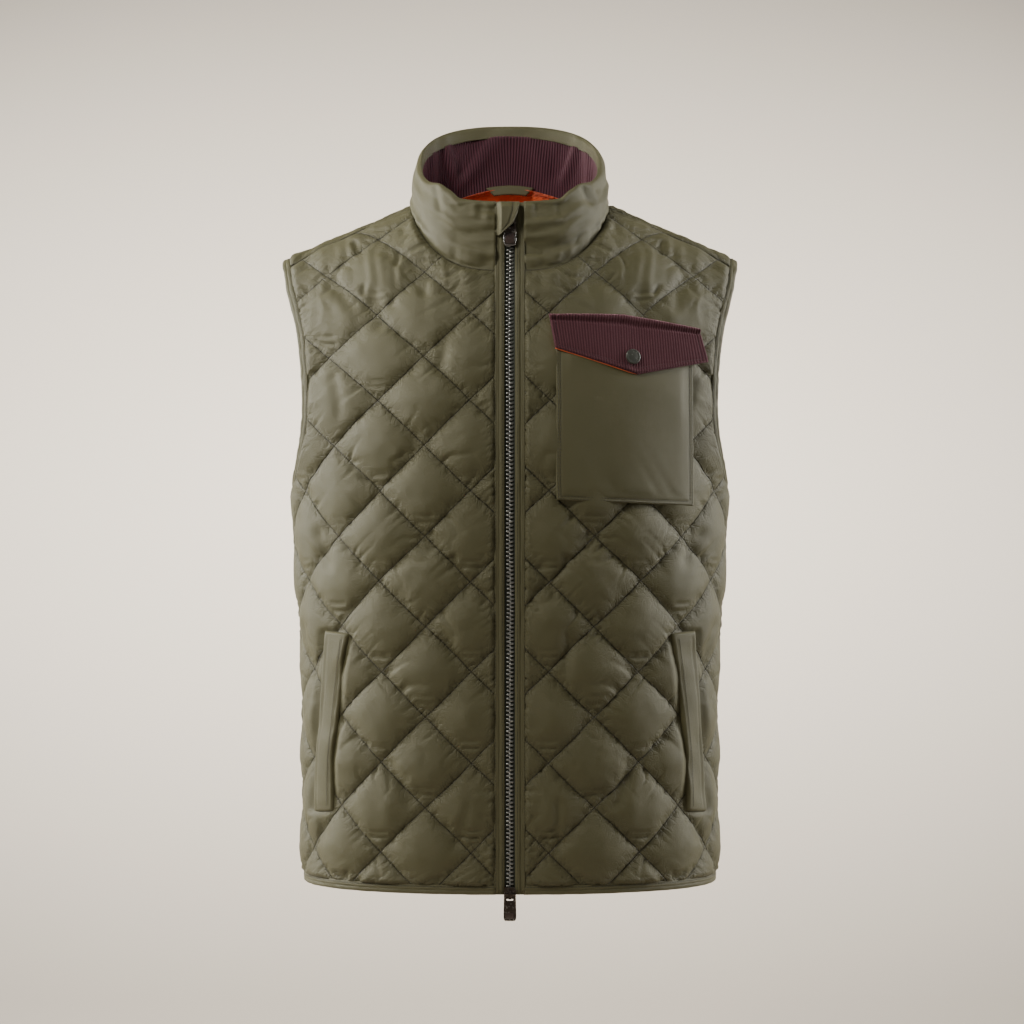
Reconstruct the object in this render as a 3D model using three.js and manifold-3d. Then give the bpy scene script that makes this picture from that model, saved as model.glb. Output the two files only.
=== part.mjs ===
// A quilted vest with a stand collar, a two-way zip, a flapped chest pocket and two welted hand
// pockets, filled out as when it is worn. Millimetres, +Z up, the front faces -Y and the wearer's
// left is +X. The origin is on the shoulder line, midway between the shoulders that hold it up.
import * as THREE from 'three';
import { mergeVertices } from 'three/addons/utils/BufferGeometryUtils.js';
import Module from 'manifold-3d';

const wasm = await Module();
wasm.setup();

// Garment sizes
const HEM = -657;                 // lower edge of the hem binding
const UNDERARM = -273;            // lowest point of the armhole, under its binding
const SECTION_POWER = 2.2;        // roundness of the body's cross section, 2 is an ellipse
const WAIST = { width: 205, front: 129, back: 112 };
const BODY = [
  { z: -657, width: 204, front: 129, back: 116 },
  { z: -480, width: 204, front: 129, back: 109 },
  { z: -273, width: 214, front: 132, back: 121 },
];
const YOKE = [                    // half width above the armhole's lowest point, by share of the rise
  { share: 0, width: 214 },
  { share: 0.3, width: 231 },
  { share: 0.7, width: 242 },
  { share: 0.85, width: 250 },
  { share: 1, width: 250 },
];
const TIP_WIDTH = YOKE.at(-1).width;
const NECK_SIDE = { x: 97, z: 15 };        // where shoulder seam and collar meet
const SHOULDER_SLOPE = 0.423;
const RIDGE_Y = 5;                // the top of the shoulder lies a little behind the middle
const RIDGE_LIFT = { both: 20, front: 0, back: 15 };   // how the neck's base rises to its middle
const RIDGE_SHIFT = { front: 0, back: 40 };
const SHOULDER_SEAM_Y = -15;
const YOKE_START = 150;           // the shoulder seam lies somewhere above this
const NECK = { x: 97, y: -5, front: 87, back: 70 };    // the neck hole seen from above
const NECK_POWER = { front: 2.6, back: 2 };            // its roundness, 2 is an ellipse
const ARMHOLE = { corner: 0.35, depth: 0.45, scoopFront: 0.08, scoopBack: 0.04 };
const ZIP_HALF = 13.5;            // half width between the two quilted fronts

// Cloth sizes
const CLOTH = 2;                  // thickness of a quilted wall at its seams
const SEAM_GAP = 0.2;             // each side of a seam
const SHOULDER_GAP = 1;           // more where the two panels turn over the shoulder
const LINING_INSET = { armhole: 14, other: 4 };      // the lining ends inside the panels' edges
const BINDING = 8;                // finished width of the bindings
const BINDING_THICK = 3.2;
const DIAMOND = { across: 44.5, up: 43.5, puff: 5, start: 37.5, row: -269.5 };
const DOME_POWER = 0.7;           // how full each diamond is, 1 is a plain wave
const PUFF_EDGE = 14;             // width over which the padding thins towards a sewn edge
const LINING_DEPTH = 2;
const LINING_THICK = 1.1;
const LINING_DROP = { from: -120, over: 60, depth: 3.4 };   // it bridges the turn of the shoulder

// Collar sizes
const RIM = { x: 89.5, y: -2, front: 80, back: 82, frontZ: 16, backZ: 105 };
const RIM_POWER = { front: 2.6, back: 2.5 };            // the rim is squarer than the neck seam
const COLLAR_PUFF = 3.4;
const COLLAR_INSET = 2.6;         // the collar stands this far inside the neck seam
const FACING_SHARE = 0.8;         // the facing strip starts at this share of the collar's height

const COLOURS = { olive: 0x6e684b, plum: 0x3c232a, orange: 0xeb693c, tape: 0x34362c };
const vest = new THREE.Group();

function addMesh(name, geometry, color, roughness = 0.8, metalness = 0) {
  const mesh = new THREE.Mesh(geometry, new THREE.MeshStandardMaterial({ color, roughness, metalness }));
  mesh.name = name;
  vest.add(mesh);
  return mesh;
}

const mix = (a, b, t) => a + (b - a) * t;
const clamp = (v, low, high) => Math.min(high, Math.max(low, v));
const ease = (t) => t * t * (3 - 2 * t);

// A value between the rows of a table, by straight steps or softly curved ones
function between(rows, key, column, at, curve = (t) => t) {
  const order = Math.sign(rows[1][key] - rows[0][key]);
  let i = 0;
  while (i < rows.length - 2 && (at - rows[i + 1][key]) * order > 0) i++;
  const t = clamp((at - rows[i][key]) / (rows[i + 1][key] - rows[i][key]), 0, 1);
  return mix(rows[i][column], rows[i + 1][column], curve(t));
}

// The body's skin. A point is found by how far it lies across the cloth from the middle (along)
// and how far up it lies (up, which is the height below the armholes and the cloth's own length
// over the shoulders above them).
const body = (column, z) => between(BODY, 'z', column, z, ease);
const facing = { front: -1, back: 1 };
const ARC_STEPS = 900;            // fine steps along a quarter of the body's outline

function arcTable(depth) {
  const rows = [];
  let length = 0;
  for (let i = 0, px = 0, py = depth; i <= ARC_STEPS; i++) {
    const angle = (i / ARC_STEPS) * Math.PI / 2;
    const x = WAIST.width * Math.sin(angle) ** (2 / SECTION_POWER);
    const y = depth * Math.max(0, Math.cos(angle)) ** (2 / SECTION_POWER);
    length += Math.hypot(x - px, y - py);
    rows.push({ length, side: x / WAIST.width, face: y / depth });
    px = x;
    py = y;
  }
  return rows;
}
const arcs = { front: arcTable(WAIST.front), back: arcTable(WAIST.back) };
const quarter = { front: arcs.front.at(-1).length, back: arcs.back.at(-1).length };

function columnAt(face, along) {
  const rows = arcs[face];
  const target = Math.min(Math.abs(along), quarter[face]);
  let low = 0;
  let high = rows.length - 1;
  while (high - low > 1) {
    const middle = (low + high) >> 1;
    if (rows[middle].length > target) high = middle;
    else low = middle;
  }
  const t = (target - rows[low].length) / (rows[high].length - rows[low].length);
  return { side: mix(rows[low].side, rows[high].side, t), face: mix(rows[low].face, rows[high].face, t) };
}

function ridgeAt(face, x) {
  const inner = clamp(1 - (x / NECK_SIDE.x) ** 2, 0, 1);
  const slope = x > NECK_SIDE.x ? SHOULDER_SLOPE * (x - NECK_SIDE.x) : 0;
  return {
    y: RIDGE_Y + RIDGE_SHIFT[face] * inner,
    z: NECK_SIDE.z - slope + RIDGE_LIFT.both * inner + RIDGE_LIFT[face] * inner ** 2,
  };
}

const acrossAt = (side, width) => WAIST.width * side + (width - WAIST.width) * side ** 4;
const columnOf = (side) => ({ side, face: Math.max(0, 1 - side ** SECTION_POWER) ** (1 / SECTION_POWER) });

// The share of the half width at which a place lies, found in a few steps
const SOLVE = { rounds: 12, slope: WAIST.width + 60 };
function sideAt(reach, width) {
  let side = reach / WAIST.width;
  for (let i = 0; i < SOLVE.rounds; i++) {
    side = clamp(side + (reach - acrossAt(side, width)) / SOLVE.slope, 0, 1);
  }
  return side;
}

// The curve that a column of cloth follows from the armhole's level over the shoulder
function climbOf(face, column) {
  const ridge = ridgeAt(face, acrossAt(column.side, TIP_WIDTH));
  const rise = ridge.z - UNDERARM;
  const run = facing[face] * body(face, UNDERARM) * column.face - ridge.y;
  return { ridge, rise, run };
}

const GAUSS = [
  { at: 0.04691, weight: 0.11846 }, { at: 0.23077, weight: 0.23931 }, { at: 0.5, weight: 0.28444 },
  { at: 0.76923, weight: 0.23931 }, { at: 0.95309, weight: 0.11846 },
];
function climbLength({ rise, run }, turn) {
  let sum = 0;
  for (const { at, weight } of GAUSS) {
    sum += weight * Math.hypot(rise * Math.cos(at * turn), run * Math.sin(at * turn));
  }
  return sum * turn;
}

function climbPoint(face, column, turn) {
  const { ridge, rise, run } = climbOf(face, column);
  const share = Math.sin(turn);
  const width = between(YOKE, 'share', 'width', share);
  return [acrossAt(column.side, width), ridge.y + run * Math.cos(turn), UNDERARM + rise * share];
}

function overShoulder(face, column, length) {
  const curve = climbOf(face, column);
  const whole = climbLength(curve, Math.PI / 2);
  if (length > whole) {
    const other = face === 'back' ? 'front' : 'back';
    const rest = climbLength(climbOf(other, column), Math.PI / 2) - (length - whole);
    return overShoulder(other, column, Math.max(0, rest));
  }
  let turn = (length / whole) * Math.PI / 2;
  for (let i = 0; i < SOLVE.rounds / 2; i++) {
    const speed = Math.max(1, Math.hypot(curve.rise * Math.cos(turn), curve.run * Math.sin(turn)));
    turn = clamp(turn - (climbLength(curve, turn) - length) / speed, 0, Math.PI / 2);
  }
  return climbPoint(face, column, turn);
}

function skin(face, along, up) {
  const column = columnAt(face, along);
  const [x, y, z] = up > UNDERARM
    ? overShoulder(face, column, up - UNDERARM)
    : [acrossAt(column.side, body('width', up)), facing[face] * body(face, up) * column.face, up];
  return new THREE.Vector3(-facing[face] * Math.sign(along) * x, y, z);
}

function normalOf(point, a, b, step = 1) {
  const da = point(a + step, b).sub(point(a - step, b));
  const db = point(a, b + step).sub(point(a, b - step));
  return da.cross(db).normalize();
}

// The skin's point straight behind a place in the front view, up to the shoulder's top
function frontSkin(x, z) {
  const reach = Math.abs(x);
  if (z <= UNDERARM) {
    const column = columnOf(sideAt(reach, body('width', z)));
    return new THREE.Vector3(x, -body('front', z) * column.face, z);
  }
  let side = reach / WAIST.width;
  let share = 0;
  for (let i = 0; i < SOLVE.rounds; i++) {
    share = clamp((z - UNDERARM) / (ridgeAt('front', acrossAt(side, TIP_WIDTH)).z - UNDERARM), 0, 0.999);
    side = sideAt(reach, between(YOKE, 'share', 'width', share));
  }
  return new THREE.Vector3(x, climbPoint('front', columnOf(side), Math.asin(share))[1], z);
}

// A flat net of triangles over a panel, lined up with its quilting and cut along its edges.
// Each edge is a function of a vertex that is positive inside and about in millimetres.
const FAR_INSIDE = 60;            // said of a vertex where an edge plays no part
function clipNet(net, inside, snap) {
  const { vertices } = net;
  const h = 0.5;
  const gradient = (v) => {
    return [
      (inside({ ...v, along: v.along + h }) - inside({ ...v, along: v.along - h })) / (2 * h),
      (inside({ ...v, up: v.up + h }) - inside({ ...v, up: v.up - h })) / (2 * h),
    ];
  };
  const values = vertices.map((v) => {
    if (Math.abs(inside(v)) > snap) return inside(v);
    const start = { ...v };
    for (let i = 0; i < SOLVE.rounds; i++) {
      const [ga, gb] = gradient(v);
      const pull = inside(v) / Math.max(ga * ga + gb * gb, 0.05);
      v.along -= ga * pull;
      v.up -= gb * pull;
    }
    const moved = Math.hypot(v.along - start.along, v.up - start.up);
    if (moved < snap * 1.6 && Math.abs(inside(v)) < 0.02) return 0;
    Object.assign(v, start);
    return inside(v);
  });
  const cuts = new Map();
  const cutEdge = (i, j) => {
    const key = i < j ? `${i},${j}` : `${j},${i}`;
    if (!cuts.has(key)) {
      let [good, bad] = values[i] > 0 ? [vertices[i], vertices[j]] : [vertices[j], vertices[i]];
      for (let k = 0; k < 1.5 * SOLVE.rounds; k++) {
        const half = { along: (good.along + bad.along) / 2, up: (good.up + bad.up) / 2 };
        if (inside(half) > 0) good = half;
        else bad = half;
      }
      vertices.push({ ...good });
      cuts.set(key, vertices.length - 1);
    }
    return cuts.get(key);
  };
  const kept = [];
  for (const triangle of net.triangles) {
    if (Math.max(...triangle.map((i) => values[i])) <= 0) continue;
    const ring = [];
    for (let k = 0; k < 3; k++) {
      const i = triangle[k];
      const j = triangle[(k + 1) % 3];
      if (values[i] >= 0) ring.push(i);
      if (values[i] * values[j] < 0) ring.push(cutEdge(i, j));
    }
    for (let k = 1; k < ring.length - 1; k++) kept.push([ring[0], ring[k], ring[k + 1]]);
  }
  net.triangles = kept;
}

function clothNet({ start, halves, low, high, edges }) {
  const stepA = DIAMOND.across / halves;
  const stepB = DIAMOND.up / halves;
  const net = { vertices: [], triangles: [] };
  const index = new Map();
  const vertex = (p, q) => {
    const key = `${p},${q}`;
    if (!index.has(key)) {
      index.set(key, net.vertices.length);
      net.vertices.push({ along: start + p * stepA, up: DIAMOND.row + q * stepB });
    }
    return index.get(key);
  };
  const corner = ({ along, up }, round) => ({
    p: round((along - start) / stepA), q: round((up - DIAMOND.row) / stepB),
  });
  const first = corner(low, Math.floor);
  const last = corner(high, Math.ceil);
  for (let p = first.p; p < last.p; p++) {
    for (let q = first.q; q < last.q; q++) {
      const [a, b, c, d] = [vertex(p, q), vertex(p + 1, q), vertex(p + 1, q + 1), vertex(p, q + 1)];
      if ((p - q) % 2 === 0) net.triangles.push([a, b, c], [a, c, d]);
      else net.triangles.push([a, b, d], [b, c, d]);
    }
  }
  for (const edge of edges) clipNet(net, edge, 0.27 * stepB);
  const used = new Map();
  const vertices = [];
  net.triangles = net.triangles.map((triangle) => triangle.map((i) => {
    if (!used.has(i)) {
      used.set(i, vertices.length);
      vertices.push(net.vertices[i]);
    }
    return used.get(i);
  }));
  net.vertices = vertices;
  return net;
}

// A closed wall over a net: its outer points, its inner points, and a strip round its rim
function wallGeometry(net, inner, outer, mirrored = false) {
  const count = net.vertices.length;
  const points = [...net.vertices.map(outer), ...net.vertices.map(inner)];
  const faces = [];
  const edges = new Map();
  for (const [a, b, c] of net.triangles) {
    faces.push([a, b, c], [a + count, c + count, b + count]);
    for (const [i, j] of [[a, b], [b, c], [c, a]]) {
      if (edges.has(`${j},${i}`)) edges.delete(`${j},${i}`);
      else edges.set(`${i},${j}`, [i, j]);
    }
  }
  for (const [i, j] of edges.values()) faces.push([i, i + count, j], [j, i + count, j + count]);
  return solidGeometry(points, faces, mirrored);
}

function solidGeometry(points, faces, mirrored = false) {
  const geometry = new THREE.BufferGeometry();
  const turn = mirrored ? -1 : 1;
  const positions = points.flatMap((p) => [p.x * turn, p.y, p.z]);
  geometry.setAttribute('position', new THREE.Float32BufferAttribute(positions, 3));
  geometry.setIndex(faces.flatMap(([a, b, c]) => (mirrored ? [a, c, b] : [a, b, c])));
  geometry.computeVertexNormals();
  return geometry;
}

// A closed wall over a grid of places; inner and outer give the point at column i of row j
function gridWall(columns, rows, inner, outer, mirrored = false) {
  const net = { vertices: [], triangles: [] };
  for (let j = 0; j <= rows; j++) {
    for (let i = 0; i <= columns; i++) net.vertices.push({ u: i / columns, v: j / rows });
  }
  for (let j = 0; j < rows; j++) {
    for (let i = 0; i < columns; i++) {
      const a = j * (columns + 1) + i;
      const d = a + columns + 1;
      net.triangles.push([a, a + 1, d + 1], [a, d + 1, d]);
    }
  }
  return wallGeometry(net, ({ u, v }) => inner(u, v), ({ u, v }) => outer(u, v), mirrored);
}

// The edges of the panels
const neckEdge = (p) => {
  const depth = p.y < NECK.y ? NECK.front : NECK.back;
  const power = p.y < NECK.y ? NECK_POWER.front : NECK_POWER.back;
  const ring = Math.abs(p.x / NECK.x) ** power + Math.abs((p.y - NECK.y) / depth) ** power;
  return (ring ** (1 / power) - 1) * depth;
};
function armholeEdge(face, v, p) {
  const column = columnAt(face, v.along);
  const ridge = ridgeAt(face, acrossAt(column.side, TIP_WIDTH));
  const share = clamp((p.z - UNDERARM) / (ridge.z - UNDERARM), 0, 1);
  if (v.up <= UNDERARM) return FAR_INSIDE;
  const corner = 1 - Math.min(1, share / ARMHOLE.corner);
  const scoop = face === 'front' ? ARMHOLE.scoopFront : ARMHOLE.scoopBack;
  const edge = ARMHOLE.depth * Math.sqrt(1 - corner * corner) + scoop * Math.sin(Math.PI * share);
  return (column.face - edge) * body(face, UNDERARM);
}
const HEM_SEAM = HEM + BINDING + 2 * SEAM_GAP;
const SHOULDER_EDGE = { front: SHOULDER_SEAM_Y - SHOULDER_GAP, back: SHOULDER_SEAM_Y + SHOULDER_GAP };
function frontShoulderEdge(v) {
  if (v.up < UNDERARM + YOKE_START) return FAR_INSIDE;
  return SHOULDER_EDGE.front - skin('front', v.along, v.up).y;
}
const edgesOf = {
  front: {
    zip: (v) => v.along - ZIP_HALF,
    hem: (v) => v.up - HEM_SEAM,
    side: (v) => quarter.front - v.along - SEAM_GAP,
    shoulder: frontShoulderEdge,
    neck: (v) => neckEdge(skin('front', v.along, v.up)),
    armhole: (v) => armholeEdge('front', v, skin('front', v.along, v.up)),
  },
  back: {
    hem: (v) => v.up - HEM_SEAM,
    side: (v) => quarter.back - Math.abs(v.along) - SEAM_GAP,
    shoulder: (v) => skin('back', v.along, v.up).y - SHOULDER_EDGE.back,
    neck: (v) => neckEdge(skin('back', v.along, v.up)),
    armhole: (v) => armholeEdge('back', v, skin('back', v.along, v.up)),
  },
};
const PANEL_TOP = 130;            // above every shoulder, measured along the cloth

function panelNet(face, halves, inset = { armhole: 0, other: 0 }) {
  const front = face === 'front';
  const insetBy = ([edge, inside]) => (v) => inside(v) - (inset[edge] ?? inset.other);
  return clothNet({
    start: front ? DIAMOND.start : 0,
    halves,
    low: { along: front ? 0 : -quarter.back - DIAMOND.across, up: HEM },
    high: { along: quarter[face] + DIAMOND.across, up: PANEL_TOP },
    edges: Object.entries(edgesOf[face]).map(insetBy),
  });
}

function puffAt(face, v) {
  const i = (v.along - (face === 'front' ? DIAMOND.start : 0)) / DIAMOND.across;
  const j = (v.up - DIAMOND.row) / DIAMOND.up;
  const dome = Math.abs(Math.sin(Math.PI * (i + j) / 2) * Math.sin(Math.PI * (i - j) / 2));
  const edge = Math.min(...Object.values(edgesOf[face]).map((inside) => inside(v)));
  return DIAMOND.puff * dome ** DOME_POWER * ease(clamp(edge / PUFF_EDGE, 0, 1));
}

function lifted(face, v, height) {
  const point = (a, b) => skin(face, a, b);
  return point(v.along, v.up).addScaledVector(normalOf(point, v.along, v.up), height);
}

const nets = { front: panelNet('front', 2), back: panelNet('back', 2) };
function addPanel(name, face, mirrored) {
  const inner = (v) => lifted(face, v, -CLOTH / 2);
  const outer = (v) => lifted(face, v, CLOTH / 2 + puffAt(face, v));
  addMesh(name, wallGeometry(nets[face], inner, outer, mirrored), COLOURS.olive);
}
addPanel('front_left', 'front', false);
addPanel('front_right', 'front', true);
addPanel('back', 'back', false);

// The lining follows the panels just inside them, in larger faces
const liningNets = { front: panelNet('front', 1, LINING_INSET), back: panelNet('back', 1, LINING_INSET) };
function addLining(name, face, mirrored) {
  const drop = (v) => ease(clamp((lifted(face, v, 0).z - LINING_DROP.from) / LINING_DROP.over, 0, 1));
  const outer = (v) => lifted(face, v, -LINING_DEPTH - LINING_DROP.depth * drop(v));
  const inner = (v) => lifted(face, v, -LINING_DEPTH - LINING_THICK - LINING_DROP.depth * drop(v));
  addMesh(name, wallGeometry(liningNets[face], inner, outer, mirrored), COLOURS.orange);
}
addLining('lining_front_left', 'front', false);
addLining('lining_front_right', 'front', true);
addLining('lining_back', 'back', false);

// Bindings: a strip along the points of a panel's own edge, moved off it by the seam's gap
function edgePoints(face, edge, order) {
  return nets[face].vertices
    .filter((v) => Math.abs(edgesOf[face][edge](v)) < 0.4)
    .sort((p, q) => order(p) - order(q))
    .map((v) => ({ point: lifted(face, v, 0), normal: lifted(face, v, 1).sub(lifted(face, v, 0)) }));
}

function bindingGeometry(stations, closed, depth, back) {
  const count = stations.length;
  const at = (i) => stations[closed ? (i + count) % count : clamp(i, 0, count - 1)];
  const rings = stations.map(({ point, normal }, i) => {
    const run = at(i + 1).point.clone().sub(at(i - 1).point).normalize();
    const out = run.cross(normal).normalize();
    const corner = (away, lift) => point.clone().addScaledVector(out, away).addScaledVector(normal, lift);
    const front = BINDING_THICK / 2;
    return [corner(4 * SEAM_GAP, front), corner(depth - 1, front), corner(depth, 0),
      corner(depth - 1, -back), corner(4 * SEAM_GAP, -back)];
  });
  const points = rings.flat();
  const sides = rings[0].length;
  const faces = [];
  for (let i = 0; i < (closed ? count : count - 1); i++) {
    for (let k = 0; k < sides; k++) {
      const [a, b] = [i * sides + k, i * sides + (k + 1) % sides];
      const [c, d] = [((i + 1) % count) * sides + k, ((i + 1) % count) * sides + (k + 1) % sides];
      faces.push([a, b, c], [b, d, c]);
    }
  }
  if (!closed) {
    const end = (count - 1) * sides;
    for (let k = 1; k < sides - 1; k++) {
      faces.push([0, k + 1, k], [end, end + k, end + k + 1]);
    }
  }
  return solidGeometry(points, faces);
}

function spaced(stations, least) {
  const kept = [stations[0]];
  for (const station of stations) {
    if (station.point.distanceTo(kept.at(-1).point) > least) kept.push(station);
  }
  if (kept.at(-1) !== stations.at(-1)) kept.splice(-1, 1, stations.at(-1));
  return kept;
}
const mirrorStation = ({ point, normal }) => ({
  point: point.clone().setX(-point.x), normal: normal.clone().setX(-normal.x),
});

const frontArmhole = edgePoints('front', 'armhole', (v) => v.up);
const backArmhole = edgePoints('back', 'armhole', (v) => -v.up).filter(({ point }) => point.x > 0);
let armhole = spaced([...frontArmhole, ...backArmhole], 1);
if (armhole.at(-1).point.distanceTo(armhole[0].point) < 3) armhole = armhole.slice(0, -1);
const armholeLeft = bindingGeometry(armhole, true, BINDING, LINING_DEPTH + LINING_THICK);
addMesh('armhole_binding_left', armholeLeft, COLOURS.olive);
const mirroredArmhole = armhole.map(mirrorStation).reverse();
const armholeRight = bindingGeometry(mirroredArmhole, true, BINDING, LINING_DEPTH + LINING_THICK);
addMesh('armhole_binding_right', armholeRight, COLOURS.olive);

const frontHem = edgePoints('front', 'hem', (v) => v.along);
const backHem = edgePoints('back', 'hem', (v) => v.along);
const hem = spaced([...frontHem, ...backHem, ...frontHem.map(mirrorStation).reverse()], 12);
const hemGeometry = bindingGeometry(hem, false, BINDING, LINING_DEPTH + LINING_THICK);
addMesh('hem_binding', hemGeometry, COLOURS.olive);

// The collar stands on the neck hole; its surface is ruled from the seam up to the rim
function skinHeight(x, y) {
  const face = y < RIDGE_Y ? 'front' : 'back';
  let share = 1;
  let height = 0;
  for (let i = 0; i < SOLVE.rounds; i++) {
    const side = sideAt(x, between(YOKE, 'share', 'width', share));
    const { ridge, run, rise } = climbOf(face, columnOf(side));
    share = Math.sqrt(1 - clamp((y - ridge.y) / run, 0, 1) ** 2);
    height = UNDERARM + rise * share;
  }
  return height;
}

// An oval seen from above, with its own depth and roundness in front and behind; 0 is the front
function oval(angle, { x, y, front, back }, power) {
  const [s, c] = [Math.sin(angle), Math.cos(angle)];
  const depth = c > 0 ? -front : -back;
  const round = 2 / (c > 0 ? power.front : power.back);
  return [x * Math.sign(s) * Math.abs(s) ** round, y + depth * Math.sign(c) * Math.abs(c) ** round];
}

const rimHeight = (y) => mix(RIM.frontZ, RIM.backZ, (y - RIM.y + RIM.front) / (RIM.front + RIM.back));
const COLLAR_BASE = {
  x: NECK.x - COLLAR_INSET, y: NECK.y, front: NECK.front - COLLAR_INSET, back: NECK.back - COLLAR_INSET,
};
const COLLAR_LIFT = 0.8;          // clear of the panels that it is sewn to
const collarStart = Math.asin((ZIP_HALF / COLLAR_BASE.x) ** (NECK_POWER.front / 2));
function collarSkin(turn, share) {
  const angle = mix(collarStart, 2 * Math.PI - collarStart, turn);
  const [bx, by] = oval(angle, COLLAR_BASE, NECK_POWER);
  const [fx, fy] = oval(angle, RIM, RIM_POWER);
  const atFront = Math.cos(angle) > 0;
  const rimX = atFront && Math.abs(fx) < ZIP_HALF ? Math.sign(fx) * ZIP_HALF : fx;
  const atZip = atFront && Math.abs(bx) < ZIP_HALF + 1;
  const base = new THREE.Vector3(bx, by, skinHeight(Math.abs(bx), by) + COLLAR_LIFT);
  const rim = new THREE.Vector3(atZip ? bx : rimX, fy, rimHeight(fy));
  return base.lerp(rim, share);
}

function collarPoint(turn, share, lift) {
  const normal = normalOf((a, b) => collarSkin(a, b), turn, share, 0.004);
  return collarSkin(turn, share).addScaledVector(normal, lift);
}

function addCollarWall(name, color, { low, high, inner, outer, puff = 0, columns = 34, rows = 3 }) {
  const from = (u, v, lift) => collarPoint(u, mix(low, high, v), lift);
  const bulge = (u, v) => puff * Math.sin(Math.PI * v) ** 0.6 * Math.min(1, 9 * u, 9 * (1 - u));
  addMesh(name, gridWall(columns, rows, (u, v) => from(u, v, inner),
    (u, v) => from(u, v, outer + bulge(u, v))), color);
}
addCollarWall('collar', COLOURS.olive, { low: 0, high: 1, inner: 0, outer: 1.4, puff: COLLAR_PUFF, rows: 5 });
addCollarWall('collar_band', COLOURS.plum,
  { low: 0.03, high: FACING_SHARE - 0.01, inner: -2.2, outer: -0.3 });
addCollarWall('collar_facing', COLOURS.olive,
  { low: FACING_SHARE, high: 1, inner: -2.2, outer: -0.3, rows: 2 });

// A loop of tape sewn into the back neck seam, to hang the vest up by
const LOOP = { from: 0.465, to: 0.535, low: -0.13, high: 0.05, inner: -4.6, outer: -2.6 };
const loopPoint = (u, v, lift) =>
  collarPoint(mix(LOOP.from, LOOP.to, u), mix(LOOP.low, LOOP.high, v), lift);
addMesh('hanger_loop', gridWall(8, 1, (u, v) => loopPoint(u, v, LOOP.inner),
  (u, v) => loopPoint(u, v, LOOP.outer)), COLOURS.olive);

// The zip runs up the middle of the front and on up the collar. The path gives its side view.
const collarFront = { base: collarSkin(0, 0), rim: collarSkin(0, 1) };
function centreY(z) {
  if (z >= collarFront.base.z) {
    const share = (z - collarFront.base.z) / (collarFront.rim.z - collarFront.base.z);
    return mix(collarFront.base.y, collarFront.rim.y, share);
  }
  return frontSkin(0, Math.min(z, collarFront.base.z)).y;
}
const PATH = { step: 36, blend: 4 };   // the strips' stations, and half the run that rounds a bend
const centreSlope = (z) => (centreY(z + PATH.blend) - centreY(z - PATH.blend)) / (2 * PATH.blend);
function centrePath(from, to) {
  const steps = Math.ceil((to - from) / PATH.step);
  const path = [];
  for (let i = 0; i <= steps; i++) {
    const z = mix(from, to, i / steps);
    const slope = centreSlope(z);
    const length = Math.hypot(1, slope);
    const y = (centreY(z + PATH.blend) + centreY(z - PATH.blend)) / 2;
    path.push({ y, z, ny: -1 / length, nz: slope / length });
  }
  return path;
}
function stripGeometry(left, right, inner, outer, path) {
  const place = (x, { y, z, ny, nz }, lift) => new THREE.Vector3(x, y + ny * lift, z + nz * lift);
  return gridWall(1, path.length - 1,
    (u, v) => place(mix(left, right, u), path[Math.round(v * (path.length - 1))], inner),
    (u, v) => place(mix(left, right, u), path[Math.round(v * (path.length - 1))], outer));
}

const TOP_PULL_Z = -8;
const BOTTOM_PULL_Z = -656;
const ZIP = { top: 12, bottom: HEM + 1, teethTop: TOP_PULL_Z + 2, teethBottom: BOTTOM_PULL_Z + 2 };
const STRIPS = [
  { name: 'zip_tape', from: 4.5, to: 13.1, inner: -1.6, outer: -0.7, color: COLOURS.tape },
  { name: 'zip_placket', from: 5.4, to: 13.1, inner: -0.2, outer: 1.6, color: COLOURS.olive },
  { name: 'zip_teeth', from: 0.2, to: 4.2, inner: -2.2, outer: 0.6, color: 0x2c2d2b },
];
for (const { name, from, to, inner, outer, color } of STRIPS) {
  const teeth = name === 'zip_teeth';
  const path = teeth ? centrePath(ZIP.teethBottom, ZIP.teethTop) : centrePath(ZIP.bottom, ZIP.top);
  addMesh(`${name}_left`, stripGeometry(from, to, inner, outer, path), color, 0.6);
  addMesh(`${name}_right`, stripGeometry(-to, -from, inner, outer, path), color, 0.6);
}

// Joining solids
function toSolid(geometry, x = 0, y = 0, z = 0) {
  const clean = geometry.clone().translate(x, y, z);
  clean.deleteAttribute('normal');
  clean.deleteAttribute('uv');
  const merged = mergeVertices(clean, 1e-4);
  return new wasm.Manifold(new wasm.Mesh({
    numProp: 3,
    vertProperties: new Float32Array(merged.attributes.position.array),
    triVerts: new Uint32Array(merged.index.array),
  }));
}
function fromSolid(solid) {
  const mesh = solid.getMesh();
  const geometry = new THREE.BufferGeometry();
  geometry.setAttribute('position', new THREE.Float32BufferAttribute(mesh.vertProperties, 3));
  geometry.setIndex([...mesh.triVerts]);
  geometry.computeVertexNormals();
  return geometry;
}

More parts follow.
